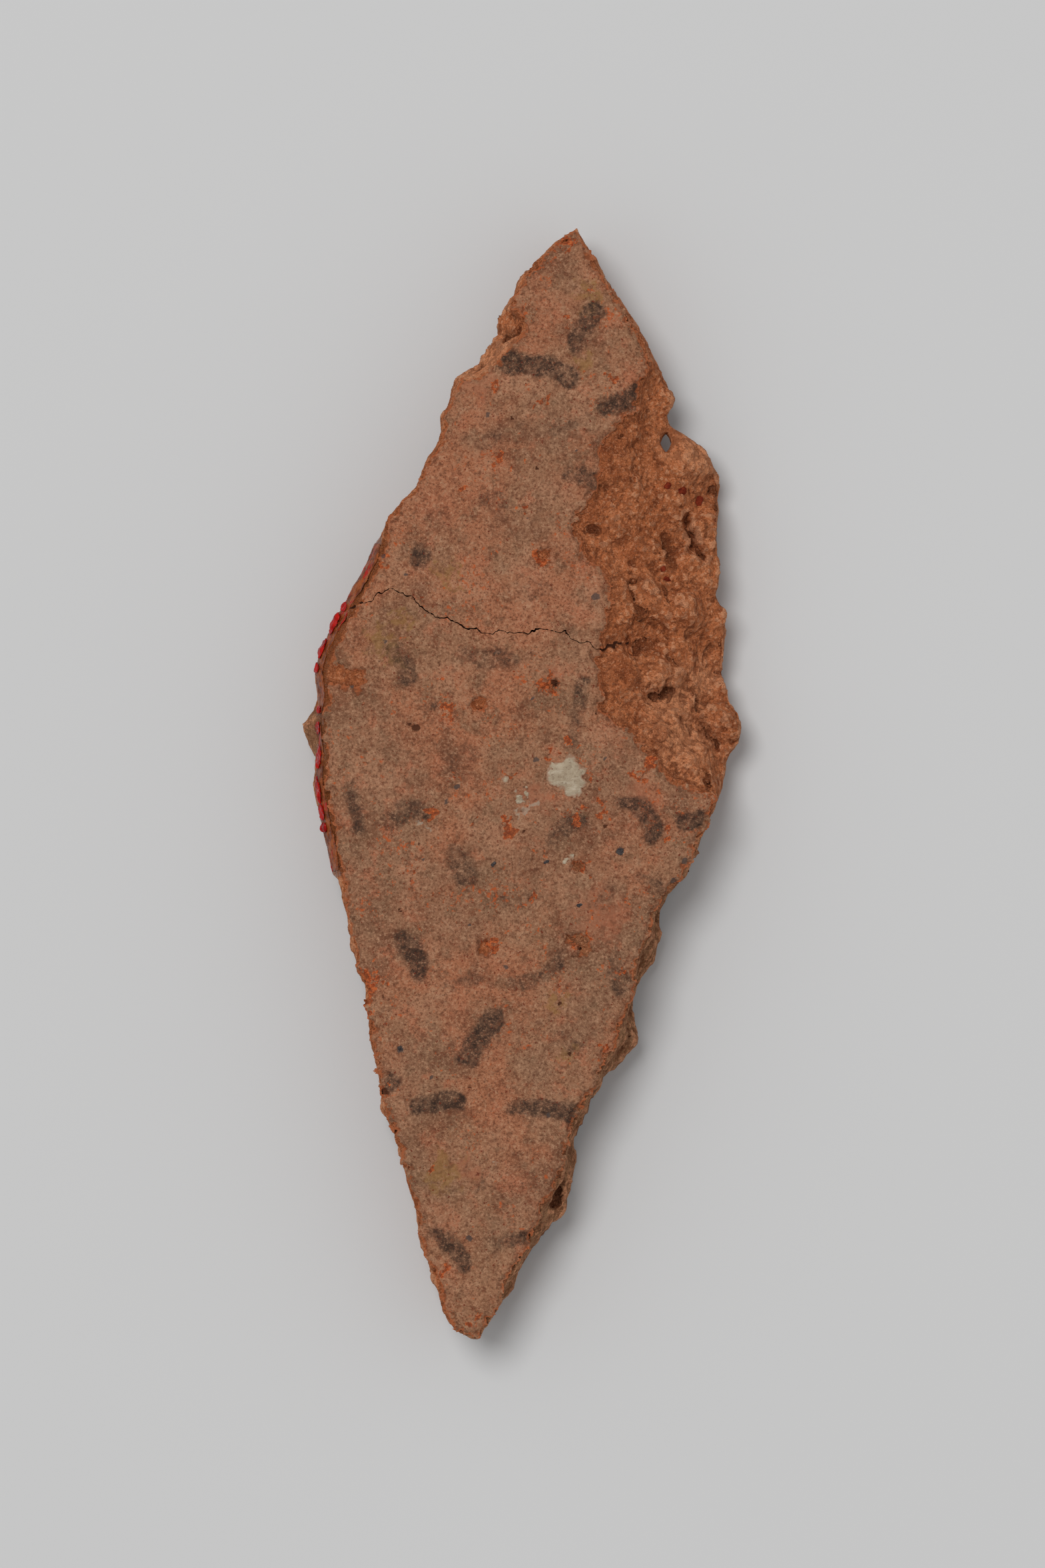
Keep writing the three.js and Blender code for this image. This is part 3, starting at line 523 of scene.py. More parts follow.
class Finish:
    """A material being mixed, with short ways to add to its node tree"""

    def __init__(self, name, specular=0.5, coat=0.0):
        self.material = bpy.data.materials.new(name)
        self.material.use_nodes = True
        self.tree = self.material.node_tree
        self.shader = self.tree.nodes["Principled BSDF"]
        self.fill(self.shader, {"Specular IOR Level": specular, "Coat Weight": coat, "Coat Roughness": 0.08})
        self.here = self.node("TexCoord", {}).outputs["Object"]
        self.tone = None

    def fill(self, node, inputs):
        """Links a node's inputs to sockets, or sets their numbers or colours"""
        for name, value in inputs.items():
            socket = node.inputs[name]
            if isinstance(value, bpy.types.NodeSocket):
                self.tree.links.new(value, socket)
            elif isinstance(value, tuple) and socket.type == "RGBA":
                socket.default_value = (*value, 1)
            else:
                socket.default_value = value
        return node

    def node(self, kind, inputs, **settings):
        made = self.tree.nodes.new("ShaderNode" + kind)
        for name, value in settings.items():
            setattr(made, name, value)
        return self.fill(made, inputs)

    def math(self, operation, *values):
        return self.node("Math", dict(enumerate(values)), operation=operation).outputs[0]

    def noise(self, size, detail=3, rough=0.6, seed=0.0, streak=None):
        """Cloudy noise whose blotches measure about size in mm, or streaks at an angle in plan"""
        where = self.here
        if streak is not None:
            drawn = {"Vector": where, "Rotation": (0, 0, math.radians(streak)), "Scale": (4, 1, 1)}
            where = self.node("Mapping", drawn, vector_type="TEXTURE").outputs[0]
        inputs = {"Vector": where, "W": seed, "Scale": 0.5 / (size * MM)}
        inputs |= {"Detail": detail, "Roughness": rough}
        return self.node("TexNoise", inputs, noise_dimensions="4D").outputs["Fac"]

    def net(self, size, seed, where):
        """The outputs of a random net whose cells measure about size in mm"""
        inputs = {"Vector": where, "W": seed, "Scale": 1 / (size * MM)}
        return self.node("TexVoronoi", inputs, voronoi_dimensions="4D").outputs

    def cells(self, size, seed=0.0):
        """Rounded crumbs of a size in mm: 1 in their middles, falling to the seams between them"""
        return self.math("SUBTRACT", 1, self.net(size, seed, self.here)["Distance"])

    def step(self, value, low, high, most=1.0):
        """A soft step from 0 at low to the most at high"""
        ends = (low, high, 0.0, most) if low < high else (high, low, most, 0.0)
        inputs = dict(zip(("From Min", "From Max", "To Min", "To Max"), ends), Value=value)
        return self.node("MapRange", inputs, interpolation_type="SMOOTHSTEP").outputs["Result"]

    def blend(self, first, last, amount, *ends):
        """Two colours mixed by an amount, or by a soft step of it between two ends"""
        inputs = {0: self.step(amount, *ends) if ends else amount, 6: first, 7: last}
        return self.node("Mix", inputs, data_type="RGBA").outputs[2]

    def over(self, colour, amount, *ends):
        """Lays a colour over the tone so far, as blend does"""
        self.tone = self.blend(self.tone, colour, amount, *ends)

    def read(self, name):
        """A number that the piece's vertices hold"""
        return self.node("Attribute", {}, attribute_name=name).outputs["Fac"]

    def mark(self, name, low, high, most=1.0, ragged=1.0):
        """A number that the vertices hold, made ragged and stepped"""
        frayed = self.math("MULTIPLY_ADD", self.noise(0.3, 4, 0.75, 4.4), ragged, self.read(name))
        return self.step(frayed, low + 0.5 * ragged, high + 0.5 * ragged, most)

    def spots(self, spacing, kept, size, seed=0.0, most=1.0):
        """Ragged spots up to size in mm, kept in a share of the cells of a random net"""
        cloud = self.node("TexNoise", {"Vector": self.here, "Scale": 1.3 / (size * MM)}).outputs["Color"]
        shift = {0: cloud, 1: (size * MM * 1.2,) * 3, 2: self.here}
        cells = self.net(spacing, seed, self.node("VectorMath", shift, operation="MULTIPLY_ADD").outputs[0])
        parts = self.node("SeparateColor", {0: cells["Color"]}).outputs
        chosen = self.math("GREATER_THAN", parts[0], 1 - kept)
        reach = self.math("MULTIPLY_ADD", parts[1], 0.3 * size / spacing, 0.2 * size / spacing)
        inside = self.math("SUBTRACT", reach, cells["Distance"])
        return self.math("MULTIPLY", self.step(inside, 0, 0.08 * size / spacing, most), chosen)

    def bump(self, height, depth, below=None):
        """Small relief of the shading, with a depth in mm, on the relief below it"""
        inputs = {"Distance": depth * MM, "Height": height} | ({"Normal": below} if below else {})
        return self.node("Bump", inputs).outputs[0]

    def dress(self, piece, rough, relief):
        """Finishes the shader and puts the material on the piece"""
        self.fill(self.shader, {"Base Color": self.tone, "Roughness": rough, "Normal": relief})
        piece.data.materials.clear()
        piece.data.materials.append(self.material)


# %% [markdown]
# ## Finish of the fired clay
# The broken clay is orange with paler and darker patches, buff at the lower right and brown along the slip.
# Ridges are painted pale pink, partly as rubbed wear and partly as painted highlight, hollows are painted
# brown, partly as dust and partly as painted shade, and grains of brick, lime and grit speckle it.
# Colours are laid in that order, from the large changes to the small ones. The inner face comes last.

# %% Fired clay
clay = Finish("fired clay", specular=0.12)
mottle = clay.noise(0.8, 4, 0.65)
crumb = clay.noise(0.08, 3, 0.8)
seams = clay.math("SUBTRACT", clay.cells(0.4), 0.45)
seams = clay.math("MULTIPLY_ADD", clay.noise(0.6, 3, 0.7, 5), 0.9, seams)
clay.tone = clay.blend((0.57, 0.172, 0.06), (0.65, 0.21, 0.078), clay.noise(4, 3), 0.35, 0.65)
clay.over((0.63, 0.235, 0.1), mottle, 0.5, 0.66, 0.6)
clay.over((0.86, 0.36, 0.17), clay.mark("pale", 0.2, 0.9, 0.75, 1.5))
clay.over((0.37, 0.09, 0.028), mottle, 0.47, 0.35, 0.6)
buff = clay.blend((0.33, 0.15, 0.067), (0.5, 0.25, 0.125), mottle, 0.35, 0.65)
clay.over(buff, clay.mark("buff", 0.3, 0.7, 1, 1.2))
rim = clay.blend((0.22, 0.052, 0.017), (0.42, 0.12, 0.042), clay.noise(0.3, 4, 0.75, 8), 0.4, 0.6)
clay.over(rim, clay.mark("skin", 0.3, 1, 0.6, 2))
# Ridges are painted pale pink: partly rubbed wear, partly painted highlight.
worn_and_highlit_ridges = clay.math("SUBTRACT", clay.step(clay.read("hollow"), 0.43, 0.16, 0.7), clay.read("skin"))
clay.over((0.78, 0.35, 0.18), worn_and_highlit_ridges, 0, 1)
# Painted shade: small and wide hollows are darkened, partly as dust and partly as the shade that falls in
# them.
clay.over((0.15, 0.038, 0.013), clay.read("hollow"), 0.62, 0.95, 0.55)
clay.over((0.15, 0.04, 0.015), clay.read("wide_hollow"), 0.58, 1, 0.45)
clay.over((0.12, 0.031, 0.011), crumb, 0.48, 0.34, 0.65)
clay.over((0.78, 0.37, 0.2), crumb, 0.53, 0.64, 0.65)
clay.over((0.16, 0.04, 0.014), seams, 0.45, 0.3, 0.4)
clay.over((0.13, 0.017, 0.007), clay.spots(1, 0.3, 0.3, 0, 0.8))
clay.over((0.6, 0.52, 0.43), clay.spots(0.8, 0.2, 0.15, 3))
clay.over((0.03, 0.022, 0.02), clay.spots(1, 0.25, 0.17, 7, 0.9))
clay.over((0.2, 0.055, 0.014), clay.mark("varnish", 0.5, 0.9, 0.7, 0.8))
# Painted shade: the shallow groove of the crack is coloured near black, as the shade inside a deep crack.
clay.over((0.045, 0.014, 0.007), clay.read("crack"), 0.2, 0.7, 0.95)
inner = clay.blend((0.24, 0.105, 0.05), (0.3, 0.15, 0.08), clay.noise(3.5, 4), 0.35, 0.65)
inner = clay.blend(inner, (0.42, 0.31, 0.21), clay.noise(1.4, 5, 0.7, 6), 0.56, 0.7, 0.7)
inner = clay.blend(inner, (0.17, 0.07, 0.035), clay.noise(0.4, 3, 0.6, 8, 0), 0.5, 0.7, 0.5)
inner = clay.blend(inner, (0.1, 0.045, 0.022), crumb, 0.45, 0.3, 0.5)
clay.over(inner, clay.read("inner"))
relief = clay.bump(clay.cells(0.35), 0.08, clay.bump(clay.noise(0.4, 4, 0.8, 2), 0.3))
relief = clay.bump(clay.noise(0.08, 4, 0.85), 0.2, clay.bump(clay.cells(0.14, 2), 0.09, relief))
clay.dress(sherd, clay.step(clay.read("varnish"), 0.9, 0.4, 0.92), relief)
select_only(sherd)
bpy.ops.object.shade_smooth()
stand_in(sherd, "sherd_body")
print("Fired clay nodes:", len(clay.tree.nodes))

# %% [markdown]
# ## A coat's outline
# Slip wears back from the break in bays up to a millimetre wide. The CAD coat gives the line, and noise gives
# the bays, which are deeper at the scars. A place's distance to the coat's side walls, found on the CAD mesh,
# says whether the slip still reaches it. Beside the crack the drawn line takes over.

# %% How far inside a coat a place lies
GRAINS = [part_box(f"face_grit_{number}") for number in range(1, 6)]
SCARS = [(2.3, 7.6, 1.3), (-2.8, -12.3, 1.3), (4.4, -11.9, 1.3), (1.8, 17.2, 1.3), (4.2, -6.1, 1.3)]
BAYS = [(0.9, 1.1), (0.6, 0.42), (0.3, 0.17)]  # each with its share and its size in mm


def by_grain(rows):
    """Which places in plan lie at a grit bedded in the face"""
    near = np.zeros(len(rows), bool)
    for low, high in GRAINS:
        middle = (low + high) / 2
        near |= np.hypot(rows[:, 0] - middle.x, rows[:, 1] - middle.y) < 0.75 * (high.x - low.x) + 0.2 * MM
    return near


class CoatOutline:
    """A coat's outline in plan, with small bays worn into its margin, on one side of the crack or neither"""

    def __init__(self, node, ragged, spread, side=0):
        solid = frame["nodes"][node]
        centres, ways = polygons_of(solid)
        wall = (np.abs(ways[:, 2]) < 0.5) & ~by_grain(centres)
        if side:
            wall &= np.abs(off_line(centres, CRACK)) > 0.35 * MM
        self.whole, self.walls = tree_of(solid), tree_of(solid, kept=wall)
        self.ragged, self.spread, self.side = ragged * MM, spread, side
        self.rise = float(np.median(centres[wall, 2] - face_height(centres[wall])))

    def margin(self, rows):
        """Distances inside the worn margin, below zero outside"""
        nudge = np.zeros(len(rows))
        if self.side:
            nudge = 0.35 * MM * self.side * (np.abs(off_line(rows, CRACK)) < 0.3 * MM)
        near_scar = ease(nearness(rows, SCARS), 0, 0.4)
        filled = by_grain(rows)
        found = []
        for index, (x, y) in enumerate(rows[:, :2]):
            above = Vector((x, y + nudge[index], 0.05))
            hit = filled[index] or self.whole.ray_cast(above, Vector((0, 0, -1)))[0]
            level = face_height(rows[index : index + 1], self.rise)[0]
            away = self.walls.find_nearest(Vector((x, y, level)))[3]
            spot = Vector((x, y, 0)) / MM
            bays = sum(share * noise.noise(spot / size) for share, size in BAYS)
            bays = self.ragged * (bays * (1 + near_scar[index]) + self.spread + 0.5 * near_scar[index])
            found.append((away if hit else -away) + bays)
        return np.array(found)

    def inside(self, rows):
        """Distances inside the margin and clear of the crack"""
        reach = self.margin(rows)
        if self.side:
            reach = np.minimum(reach, self.side * off_crack(rows) - crack_half(rows))
        return reach


# %% [markdown]
# ## Laying a thin coat
# A coat is a grid laid over the sherd, cut finer near its outline. Vertices off the coat are deleted, and so
# are those where two corners of the sheet only touch, because its solid couldn't close there. The border is
# drawn onto the outline, and the sheet is lifted to the curve of the wall, lower towards its margin. It gets
# its thickness last, so that the fine work is done once.

# %% Grid, cut to the outline and curved


def open_ends(piece):
    """The vertices at both ends of every open edge, so that each on a plain border comes twice"""
    uses = rows_of(piece.data.loops, "edge_index", 1)[:, 0].astype(int)
    ends = edges_of(piece)
    return ends[np.bincount(uses, minlength=len(ends)) == 1].ravel()


def flat_grid(name, node, cell):
    """A flat grid over a CAD node in plan"""
    low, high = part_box(node)
    width, length = high.x - low.x + 4 * cell, high.y - low.y + 4 * cell
    bpy.ops.object.select_all(action="DESELECT")
    counts = {"x_subdivisions": math.ceil(width / cell), "y_subdivisions": math.ceil(length / cell)}
    bpy.ops.mesh.primitive_grid_add(size=1, **counts)
    grid = bpy.context.object
    grid.name = grid.data.name = name
    with editing(grid):
        bpy.ops.transform.resize(value=(width, length, 1))
        bpy.ops.transform.translate(value=((low.x + high.x) / 2, (low.y + high.y) / 2, 0))
    return grid


def lay_coat(name, node, outline, cell, rise, thinning):
    """A coat in the place of a CAD node, as a sheet that still has no thickness"""
    coat = flat_grid(name, node, cell)
    reach = outline.inside(places(coat))
    store(coat, "reach", reach)
    corners = rows_of(coat.data.loops, "vertex_index", 1).astype(int).reshape(-1, 4)
    split_chosen(coat, np.abs(reach[corners]).min(axis=1) < 1.6 * cell)
    rows, reach, fine = places(coat), stored(coat, "reach"), cell / 2
    close = np.abs(reach) < 3 * cell
    reach[close] = outline.inside(rows[close])
    with editing(coat, reach < -0.5 * fine):
        bpy.ops.mesh.delete(type="VERT")
    for _ in range(3):
        with editing(coat, np.bincount(open_ends(coat), minlength=len(coat.data.vertices)) > 2):
            bpy.ops.mesh.delete(type="VERT")
            bpy.ops.mesh.select_all(action="SELECT")
            bpy.ops.mesh.delete_loose()
    rows, rim = places(coat), np.unique(open_ends(coat))
    for _ in range(2):
        here, step = rows[rim], 0.3 * fine
        slope = np.zeros((len(rim), 2))
        for axis in (0, 1):
            shift = step * np.eye(3)[axis]
            slope[:, axis] = outline.inside(here + shift) - outline.inside(here - shift)
        steep = np.maximum(np.hypot(slope[:, 0], slope[:, 1]), 1e-9)
        move = np.clip(outline.inside(here), -0.7 * fine, 0.7 * fine)
        rows[rim, :2] -= (move / steep)[:, None] * slope
    margin = outline.margin(rows)
    rows[:, 2] = face_height(rows, rise) - thinning * MM * (1 - ease(margin, 0, 0.55 * MM))
    put(coat, rows)
    store(coat, "margin", np.clip(margin / MM, 0, 5))
    return coat


def keep_sheet(coat):
    """Deletes what isn't joined to the coat's widest part"""
    with editing(coat, np.arange(len(coat.data.vertices)) == stored(coat, "margin").argmax()):
        bpy.ops.mesh.select_linked()
        bpy.ops.mesh.select_all(action="INVERT")
        bpy.ops.mesh.delete(type="VERT")


slip_coats = {}
for node, side in (("slip_above_crack", 1), ("slip_below_crack", -1)):
    outline = CoatOutline(node, 0.5, 0.12, side)
    slip_coats[node] = lay_coat(f"{node}_worn", node, outline, 0.17 * MM, SLIP_RISE, 0.29)
    keep_sheet(slip_coats[node])
    print(node, "vertices:", len(slip_coats[node].data.vertices))

# %% [markdown]
# ## Pits, chips and stains on the slip
# The face has marks at particular places: pits where grains fell out, orange chips down to the clay, dark
# grits, ochre stains, rosy patches and dabs of chalk. Each list gives places in millimetres from the middle
# with a size. The marks become numbers on the vertices, which the finish turns to colour with ragged edges.

# %% Marks on the face
PITS = [
    (-7.9, 4.3, 0.32), (-8.4, 4.6, 0.2), (-2.1, -5.9, 0.15), (-10.3, -15.9, 0.2), (-0.7, 27.6, 0.14),
    (-10.2, -23, 0.3), (2.9, -16.3, 0.18), (3.6, -20.1, 0.16), (-3.1, 18.6, 0.13), (-6.1, 9.2, 0.15),
    (0.2, -3.4, 0.13), (6.3, -3.1, 0.13), (-9.1, -9.4, 0.15), (2.5, 7.7, 0.3), (4.6, -12.2, 0.35),
    (-5, -8.7, 0.13), (1.2, 23.8, 0.14), (-7.7, -4.4, 0.14), (5.6, 5.3, 0.13), (-3.9, -22.6, 0.13),
]  # fmt: skip
CHIPS = [
    (-1.5, 24.7, 0.42), (0.3, 21, 0.35), (0.45, 24.4, 0.25), (2.1, 7.4, 0.6), (-3.2, 6.1, 0.4),
    (-5.5, 5.7, 0.5), (-6.5, -2.1, 0.35), (4.6, -6.2, 0.35), (0.7, -8.6, 0.3), (-2.4, -12.1, 0.5),
    (4.9, -11.3, 0.65), (7.6, -13.7, 0.3), (-10.2, -23, 0.4), (-9.8, -25, 0.3), (5.4, 0.2, 0.35),
    (-1.2, -3.2, 0.5), (-3.6, -2.4, 0.25), (-2.5, -19.7, 0.25), (-2.3, -24.4, 0.25), (-6.9, -29.1, 0.3),
    (6.2, -1.8, 0.4), (8.8, 0.6, 0.4), (-3.6, -40.4, 0.4), (3.2, 35.1, 0.35), (6.9, 30.6, 0.35),
    (-7.3, 14.3, 0.3), (-10.4, 16.9, 0.5), (3.6, 3.3, 0.35), (-11.5, -14.6, 0.9), (-11.7, -16.4, 0.7),
    (1.5, 16.9, 0.6), (-4.6, 21.8, 0.25), (7.1, -4.9, 0.3), (-8.2, -6.4, 0.25), (1.6, 28.9, 0.25),
    (6.6, 8.7, 0.4), (10.8, -3.9, 0.35), (9.7, 1.7, 0.5), (-0.6, 0.9, 0.3), (4.1, -2.4, 0.45),
    (3.3, 40.4, 0.5), (-1.9, 29.9, 0.3), (5.9, -19.9, 0.3), (-6.1, -36.2, 0.4), (2.2, 2.2, 0.3),
]  # fmt: skip
GREY_GRITS = [
    (4.1, 25.2, 0.15), (-2.5, 27.8, 0.17), (0.5, 20, 0.15), (-10.4, 17.3, 0.25), (1.1, 1.9, 0.22),
    (0.9, 6.6, 0.2), (-4.9, -0.1, 0.17), (-7.3, -5.5, 0.17), (7.4, -4.9, 0.32), (12.3, -5.7, 0.25),
    (11.5, -7.1, 0.2), (4.3, -9, 0.15), (-1.1, -13.6, 0.17), (-3.9, -10.5, 0.17), (-3.9, -34, 0.2),
    (-5.6, -1.2, 0.25), (-9.1, -19.8, 0.3), (9.9, 3.4, 0.13), (-12.7, 7.6, 0.22), (2.1, -24.8, 0.16),
    (-6.7, -21.9, 0.17), (6.3, 2, 0.16), (-8.7, 15.9, 0.17), (-10.2, 10.8, 0.17), (5.6, 14.2, 0.3),
]  # fmt: skip
STAINS = [
    (-5.6, 16.5, 0.8), (-10.6, 11.2, 1), (-9.6, 10, 0.8), (-9, 12.6, 0.8), (-5.8, -29.2, 1.3),
    (2.8, -16.3, 0.6), (3.6, -20.1, 0.6), (4.6, 31.8, 0.8), (-5.1, 15.2, 0.6), (5.2, 36.9, 1),
]  # fmt: skip
ROSE = [(-4.4, -28.7, 0.9), (1.1, -0.8, 1), (2.4, 8.6, 0.7), (-2.8, 30.2, 1), (9, -1, 1.3), (5.6, -9.7, 1.8)]
CHALK = [(-0.3, -0.4, 0.4), (0.6, -1.6, 0.3), (-2.4, -28.6, 0.2), (-0.2, -2.2, 0.3), (-7, -3.3, 0.3)]
print("Marks on the face:", sum(map(len, (PITS, CHIPS, GREY_GRITS, STAINS, ROSE, CHALK))))

# %% [markdown]
# ## Brush dabs
# The ink is carbon black, laid with a worn brush in short separate dabs and rubbed by wear, so it is
# darkest at one end and lets the orange grain show through. Each dab is a bowed bar in plan with its own
# turn and strength. They are plain marks in loose rows and spell nothing.

# %% Dabs of ink
# Each row: middle in plan, length, width, turn in degrees, bow, strength
DABS = [
    (5, 34.3, 4.6, 1.6, 62, 0.2, 0.9), (1.2, 31, 6.4, 1.8, -12, 0.25, 1.1),
    (7.4, 29.2, 4, 1.6, 20, -0.2, 1), (-2.4, 25.8, 2.8, 1.7, 40, 0, 0.4),
    (4.8, 22.6, 4.2, 1.6, -24, 0.4, 0.7), (-2.4, 21, 3.4, 1.6, 12, 0.3, 0.4),
    (-7.7, 17.1, 1.9, 1.6, 50, 0, 0.85), (0.6, 14.6, 3.6, 1.7, 15, 0, 0.35),
    (-9.2, 9, 4, 1.9, -62, 0.2, 0.6), (-2.8, 9.3, 5.4, 1.7, -6, 0.2, 0.5),
    (4.3, 5, 6.4, 1.3, 84, 0.1, 0.55), (-12.6, -1.6, 4.6, 1.4, -76, 0, 0.7),
    (-4.6, 1.8, 3.6, 1.9, 38, 0, 0.35), (-8.6, -2.6, 4, 2.1, 18, 0.3, 0.65),
    (8.7, -2.6, 4.6, 1.6, -52, 0.5, 1.15), (12.7, -2.6, 2.6, 1.5, 4, 0, 1.1),
    (3.6, -3.6, 4, 1.5, 34, 0.4, 0.65), (-4.6, -6, 3.6, 1.9, -58, 0, 0.55),
    (6.4, -8.4, 2.4, 1.7, 60, 0, 0.4), (-1, -9, 4.4, 1.7, 10, 0.2, 0.35),
    (-8.4, -12.6, 4.4, 1.9, -64, 0.1, 0.85), (0.9, -13.6, 5.4, 1.7, 24, -0.5, 0.6),
    (7.2, -14, 4, 1.7, -78, 0, 0.55), (-3, -19, 5.4, 1.9, 56, 0.1, 1.05),
    (3.4, -19.4, 3.4, 1.6, -30, 0, 0.45), (-6.4, -24, 4.4, 1.6, 6, 0.1, 1.15),
    (2, -24.6, 6.6, 1.7, -8, 0.2, 0.95), (-9.7, -22.4, 1.8, 1.4, 80, 0, 0.8),
    (-2.6, -29.6, 3, 1.5, 40, 0, 0.35), (-5.6, -35, 4.2, 1.8, -48, 0.3, 0.95),
    (-0.6, -34.4, 3.6, 1.3, 24, 0.2, 0.65), (-6.9, 5.2, 3, 1.7, 70, 0, 0.35),
    (9.6, -7.2, 2.6, 1.5, -20, 0, 0.5), (3.2, 26.9, 2.6, 1.4, 8, 0, 0.45),
    (-4.3, -14.8, 3, 1.6, 20, 0, 0.45),
]  # fmt: skip


def brush(plan, dabs):
    """How much ink each place holds: full inside a dab, fading over its rim, darker at one end"""
    most = np.zeros(len(plan))
    for x, y, length, width, turn, bow, strength in dabs:
        run = np.array([math.cos(math.radians(turn)), math.sin(math.radians(turn))])
        off = plan / MM - (x, y)
        along, across = off @ run, off @ (-run[1], run[0])
        half = (length - width) / 2
        bowed = across - bow * width * (1 - (2 * along / length) ** 2)
        away = np.hypot(np.maximum(np.abs(along) - half, 0), bowed) - width / 2
        held = strength * (0.8 + 0.2 * np.clip(2 * along / length, -1, 1))
        most = np.maximum(most, held * (1 - ease(away, -0.5, 0.35)))
    return most


for coat in slip_coats.values():
    rows = places(coat)
    plan, close = wobbled(wobbled(rows, 0.8, 1.1), 0.25, 0.6), wobbled(rows, 0.35, 0.2)
    store(coat, "ink", brush(wobbled(rows, 1.5, 0.4), DABS))
    for name, marks in (("chip", CHIPS), ("stain", STAINS), ("rose", ROSE), ("chalk", CHALK)):
        store(coat, name, nearness(plan, marks))
    store(coat, "grit", nearness(close, GREY_GRITS))
    pitted = nearness(close, PITS)
    store(coat, "pit", pitted)
    rows[:, 2] -= MM * (0.18 * ease(pitted, 0.4, 0.7) + 0.1 * ease(nearness(plan, CHIPS), 0.4, 0.65))
    put(coat, rows)
print("Dabs of ink:", len(DABS))

# %% [markdown]
# ## Relief and thickness of the slip
# The coat follows the wiped clay in low waves and is finely pimpled by grains beneath. Displacements in
# height give that, and then Solidify gives the sheet its closed rim and underside.

# %% Wave, pimple and thicken the slip


def roughen_coat(coat, sizes, thickness):
    """Displaces a sheet in height by noise of several sizes and closes it to a solid of this thickness"""
    for size, height in sizes:
        roughen(coat, "", size, height, octaves=1, direction="Z")
    apply_modifier(coat, "SOLIDIFY", thickness=thickness * MM, offset=-1, use_quality_normals=True)
    bpy.ops.object.shade_smooth_by_angle(angle=math.radians(60))


for node, coat in slip_coats.items():
    roughen_coat(coat, [(4.5, 0.12), (1.1, 0.07), (0.4, 0.06)], 0.09)
    rows = places(coat)
    rows[:, 2] = np.maximum(rows[:, 2], face_height(rows, 0.01 * MM))
    put(coat, rows)
    store(coat, "hollow", hollowness(coat, 4, 0.012))
    stand_in(coat, node)
    print(coat.name, "faces:", len(coat.data.polygons))

# %% [markdown]
# ## Finish of the slip
# The slip is a thin brown-rose wash over orange clay, so its colour is a patchwork: greyish beige where it
# is thick, rose where thin, bright orange where rubbed through at specks and along the margins. Over it lie
# the ink, the stains, fine pale fibres from wiping, and grits.

# %% Slip
slip = Finish("brown-rose slip", specular=0.12)
zone = slip.noise(4, 3, 0.6)
fine = slip.noise(0.1, 3, 0.8)
mid = slip.noise(0.3, 5, 0.75, 2)
patch = slip.noise(0.9, 4, 0.7, 31)
wide = slip.noise(2, 5, 0.7, 21)
slip.tone = slip.blend((0.275, 0.13, 0.069), (0.335, 0.126, 0.062), zone, 0.43, 0.57)
slip.over((0.225, 0.117, 0.066), slip.noise(6, 3, 0.6, 11), 0.48, 0.58, 0.7)
slip.over((0.37, 0.175, 0.097), wide, 0.5, 0.64, 0.65)
slip.over((0.15, 0.06, 0.031), wide, 0.49, 0.35, 0.75)
slip.over((0.38, 0.13, 0.065), patch, 0.53, 0.66, 0.6)
slip.over((0.16, 0.086, 0.047), patch, 0.48, 0.34, 0.65)
slip.over((0.39, 0.217, 0.127), mid, 0.53, 0.66, 0.55)
slip.over((0.15, 0.044, 0.02), mid, 0.48, 0.34, 0.7)
fibre = slip.noise(0.12, 2, 0.7, 9, -38)
slip.over((0.45, 0.25, 0.155), fibre, 0.58, 0.74, 0.35)
slip.over((0.1, 0.036, 0.018), fine, 0.5, 0.36, 0.75)
slip.over((0.47, 0.265, 0.157), fine, 0.52, 0.66, 0.55)
slip.over((0.34, 0.12, 0.062), slip.mark("rose", 0.2, 0.9, 0.6))
slip.over((0.25, 0.13, 0.04), slip.mark("stain", 0.35, 0.85, 0.55, 2.4))
cluster = slip.step(slip.noise(1.7, 3, 0.65, 41), 0.42, 0.68, 0.14)
fleck = slip.math("ADD", cluster, slip.noise(0.17, 4, 0.7, 12))
slip.over((0.4, 0.083, 0.022), fleck, 0.65, 0.76, 0.9)
worn = slip.math("MULTIPLY_ADD", slip.step(mid, 0.62, 0.44), 0.35, slip.step(fine, 0.74, 0.46, 0.65))
ink = slip.math("MULTIPLY", slip.mark("ink", 0.1, 0.7, 0.97, 1.2), worn)
slip.over(slip.blend((0.03, 0.017, 0.012), (0.09, 0.048, 0.03), mid, 0.35, 0.65), ink)
slip.over((0.13, 0.018, 0.007), slip.noise(0.12, 2, 0.6, 15), 0.64, 0.69, 0.85)
chip = slip.mark("chip", 0.44, 0.58, 0.92, 2.4)
slip.over(slip.blend((0.24, 0.04, 0.011), (0.5, 0.115, 0.03), fine, 0.42, 0.58), chip)
slip.over((0.33, 0.085, 0.027), slip.mark("margin", 0.24, 0.02, 0.75, 1.6))
slip.over((0.06, 0.046, 0.042), slip.mark("grit", 0.42, 0.6, 0.8, 1))
slip.over((0.34, 0.28, 0.21), slip.mark("chalk", 0.35, 0.7, 0.6, 2.4))
# Painted shade: the pits are coloured near black, as the shade inside them.
slip.over((0.05, 0.014, 0.006), slip.mark("pit", 0.45, 0.62, 0.9, 0.6))
slip.over((0.04, 0.024, 0.02), slip.spots(1.4, 0.35, 0.24, 9, 0.9))
slip.over((0.6, 0.5, 0.4), slip.spots(2.2, 0.25, 0.15, 2))
# Painted shade: hollows in the slip are darkened.
slip.over((0.1, 0.036, 0.018), slip.read("hollow"), 0.6, 1, 0.5)
relief = slip.bump(fine, 0.06, slip.bump(mid, 0.09))
for coat in slip_coats.values():
    slip.dress(coat, 0.85, relief)
print("Slip nodes:", len(slip.tree.nodes))

# %% [markdown]
# ## Lime
# A crust of lime from the burial soil, thin and ragged, with three small specks near it. It is laid as the
# slip is, on a finer grid. The first speck is a scatter of crumbs: its outline is the most ragged, and all
# that this leaves is kept.

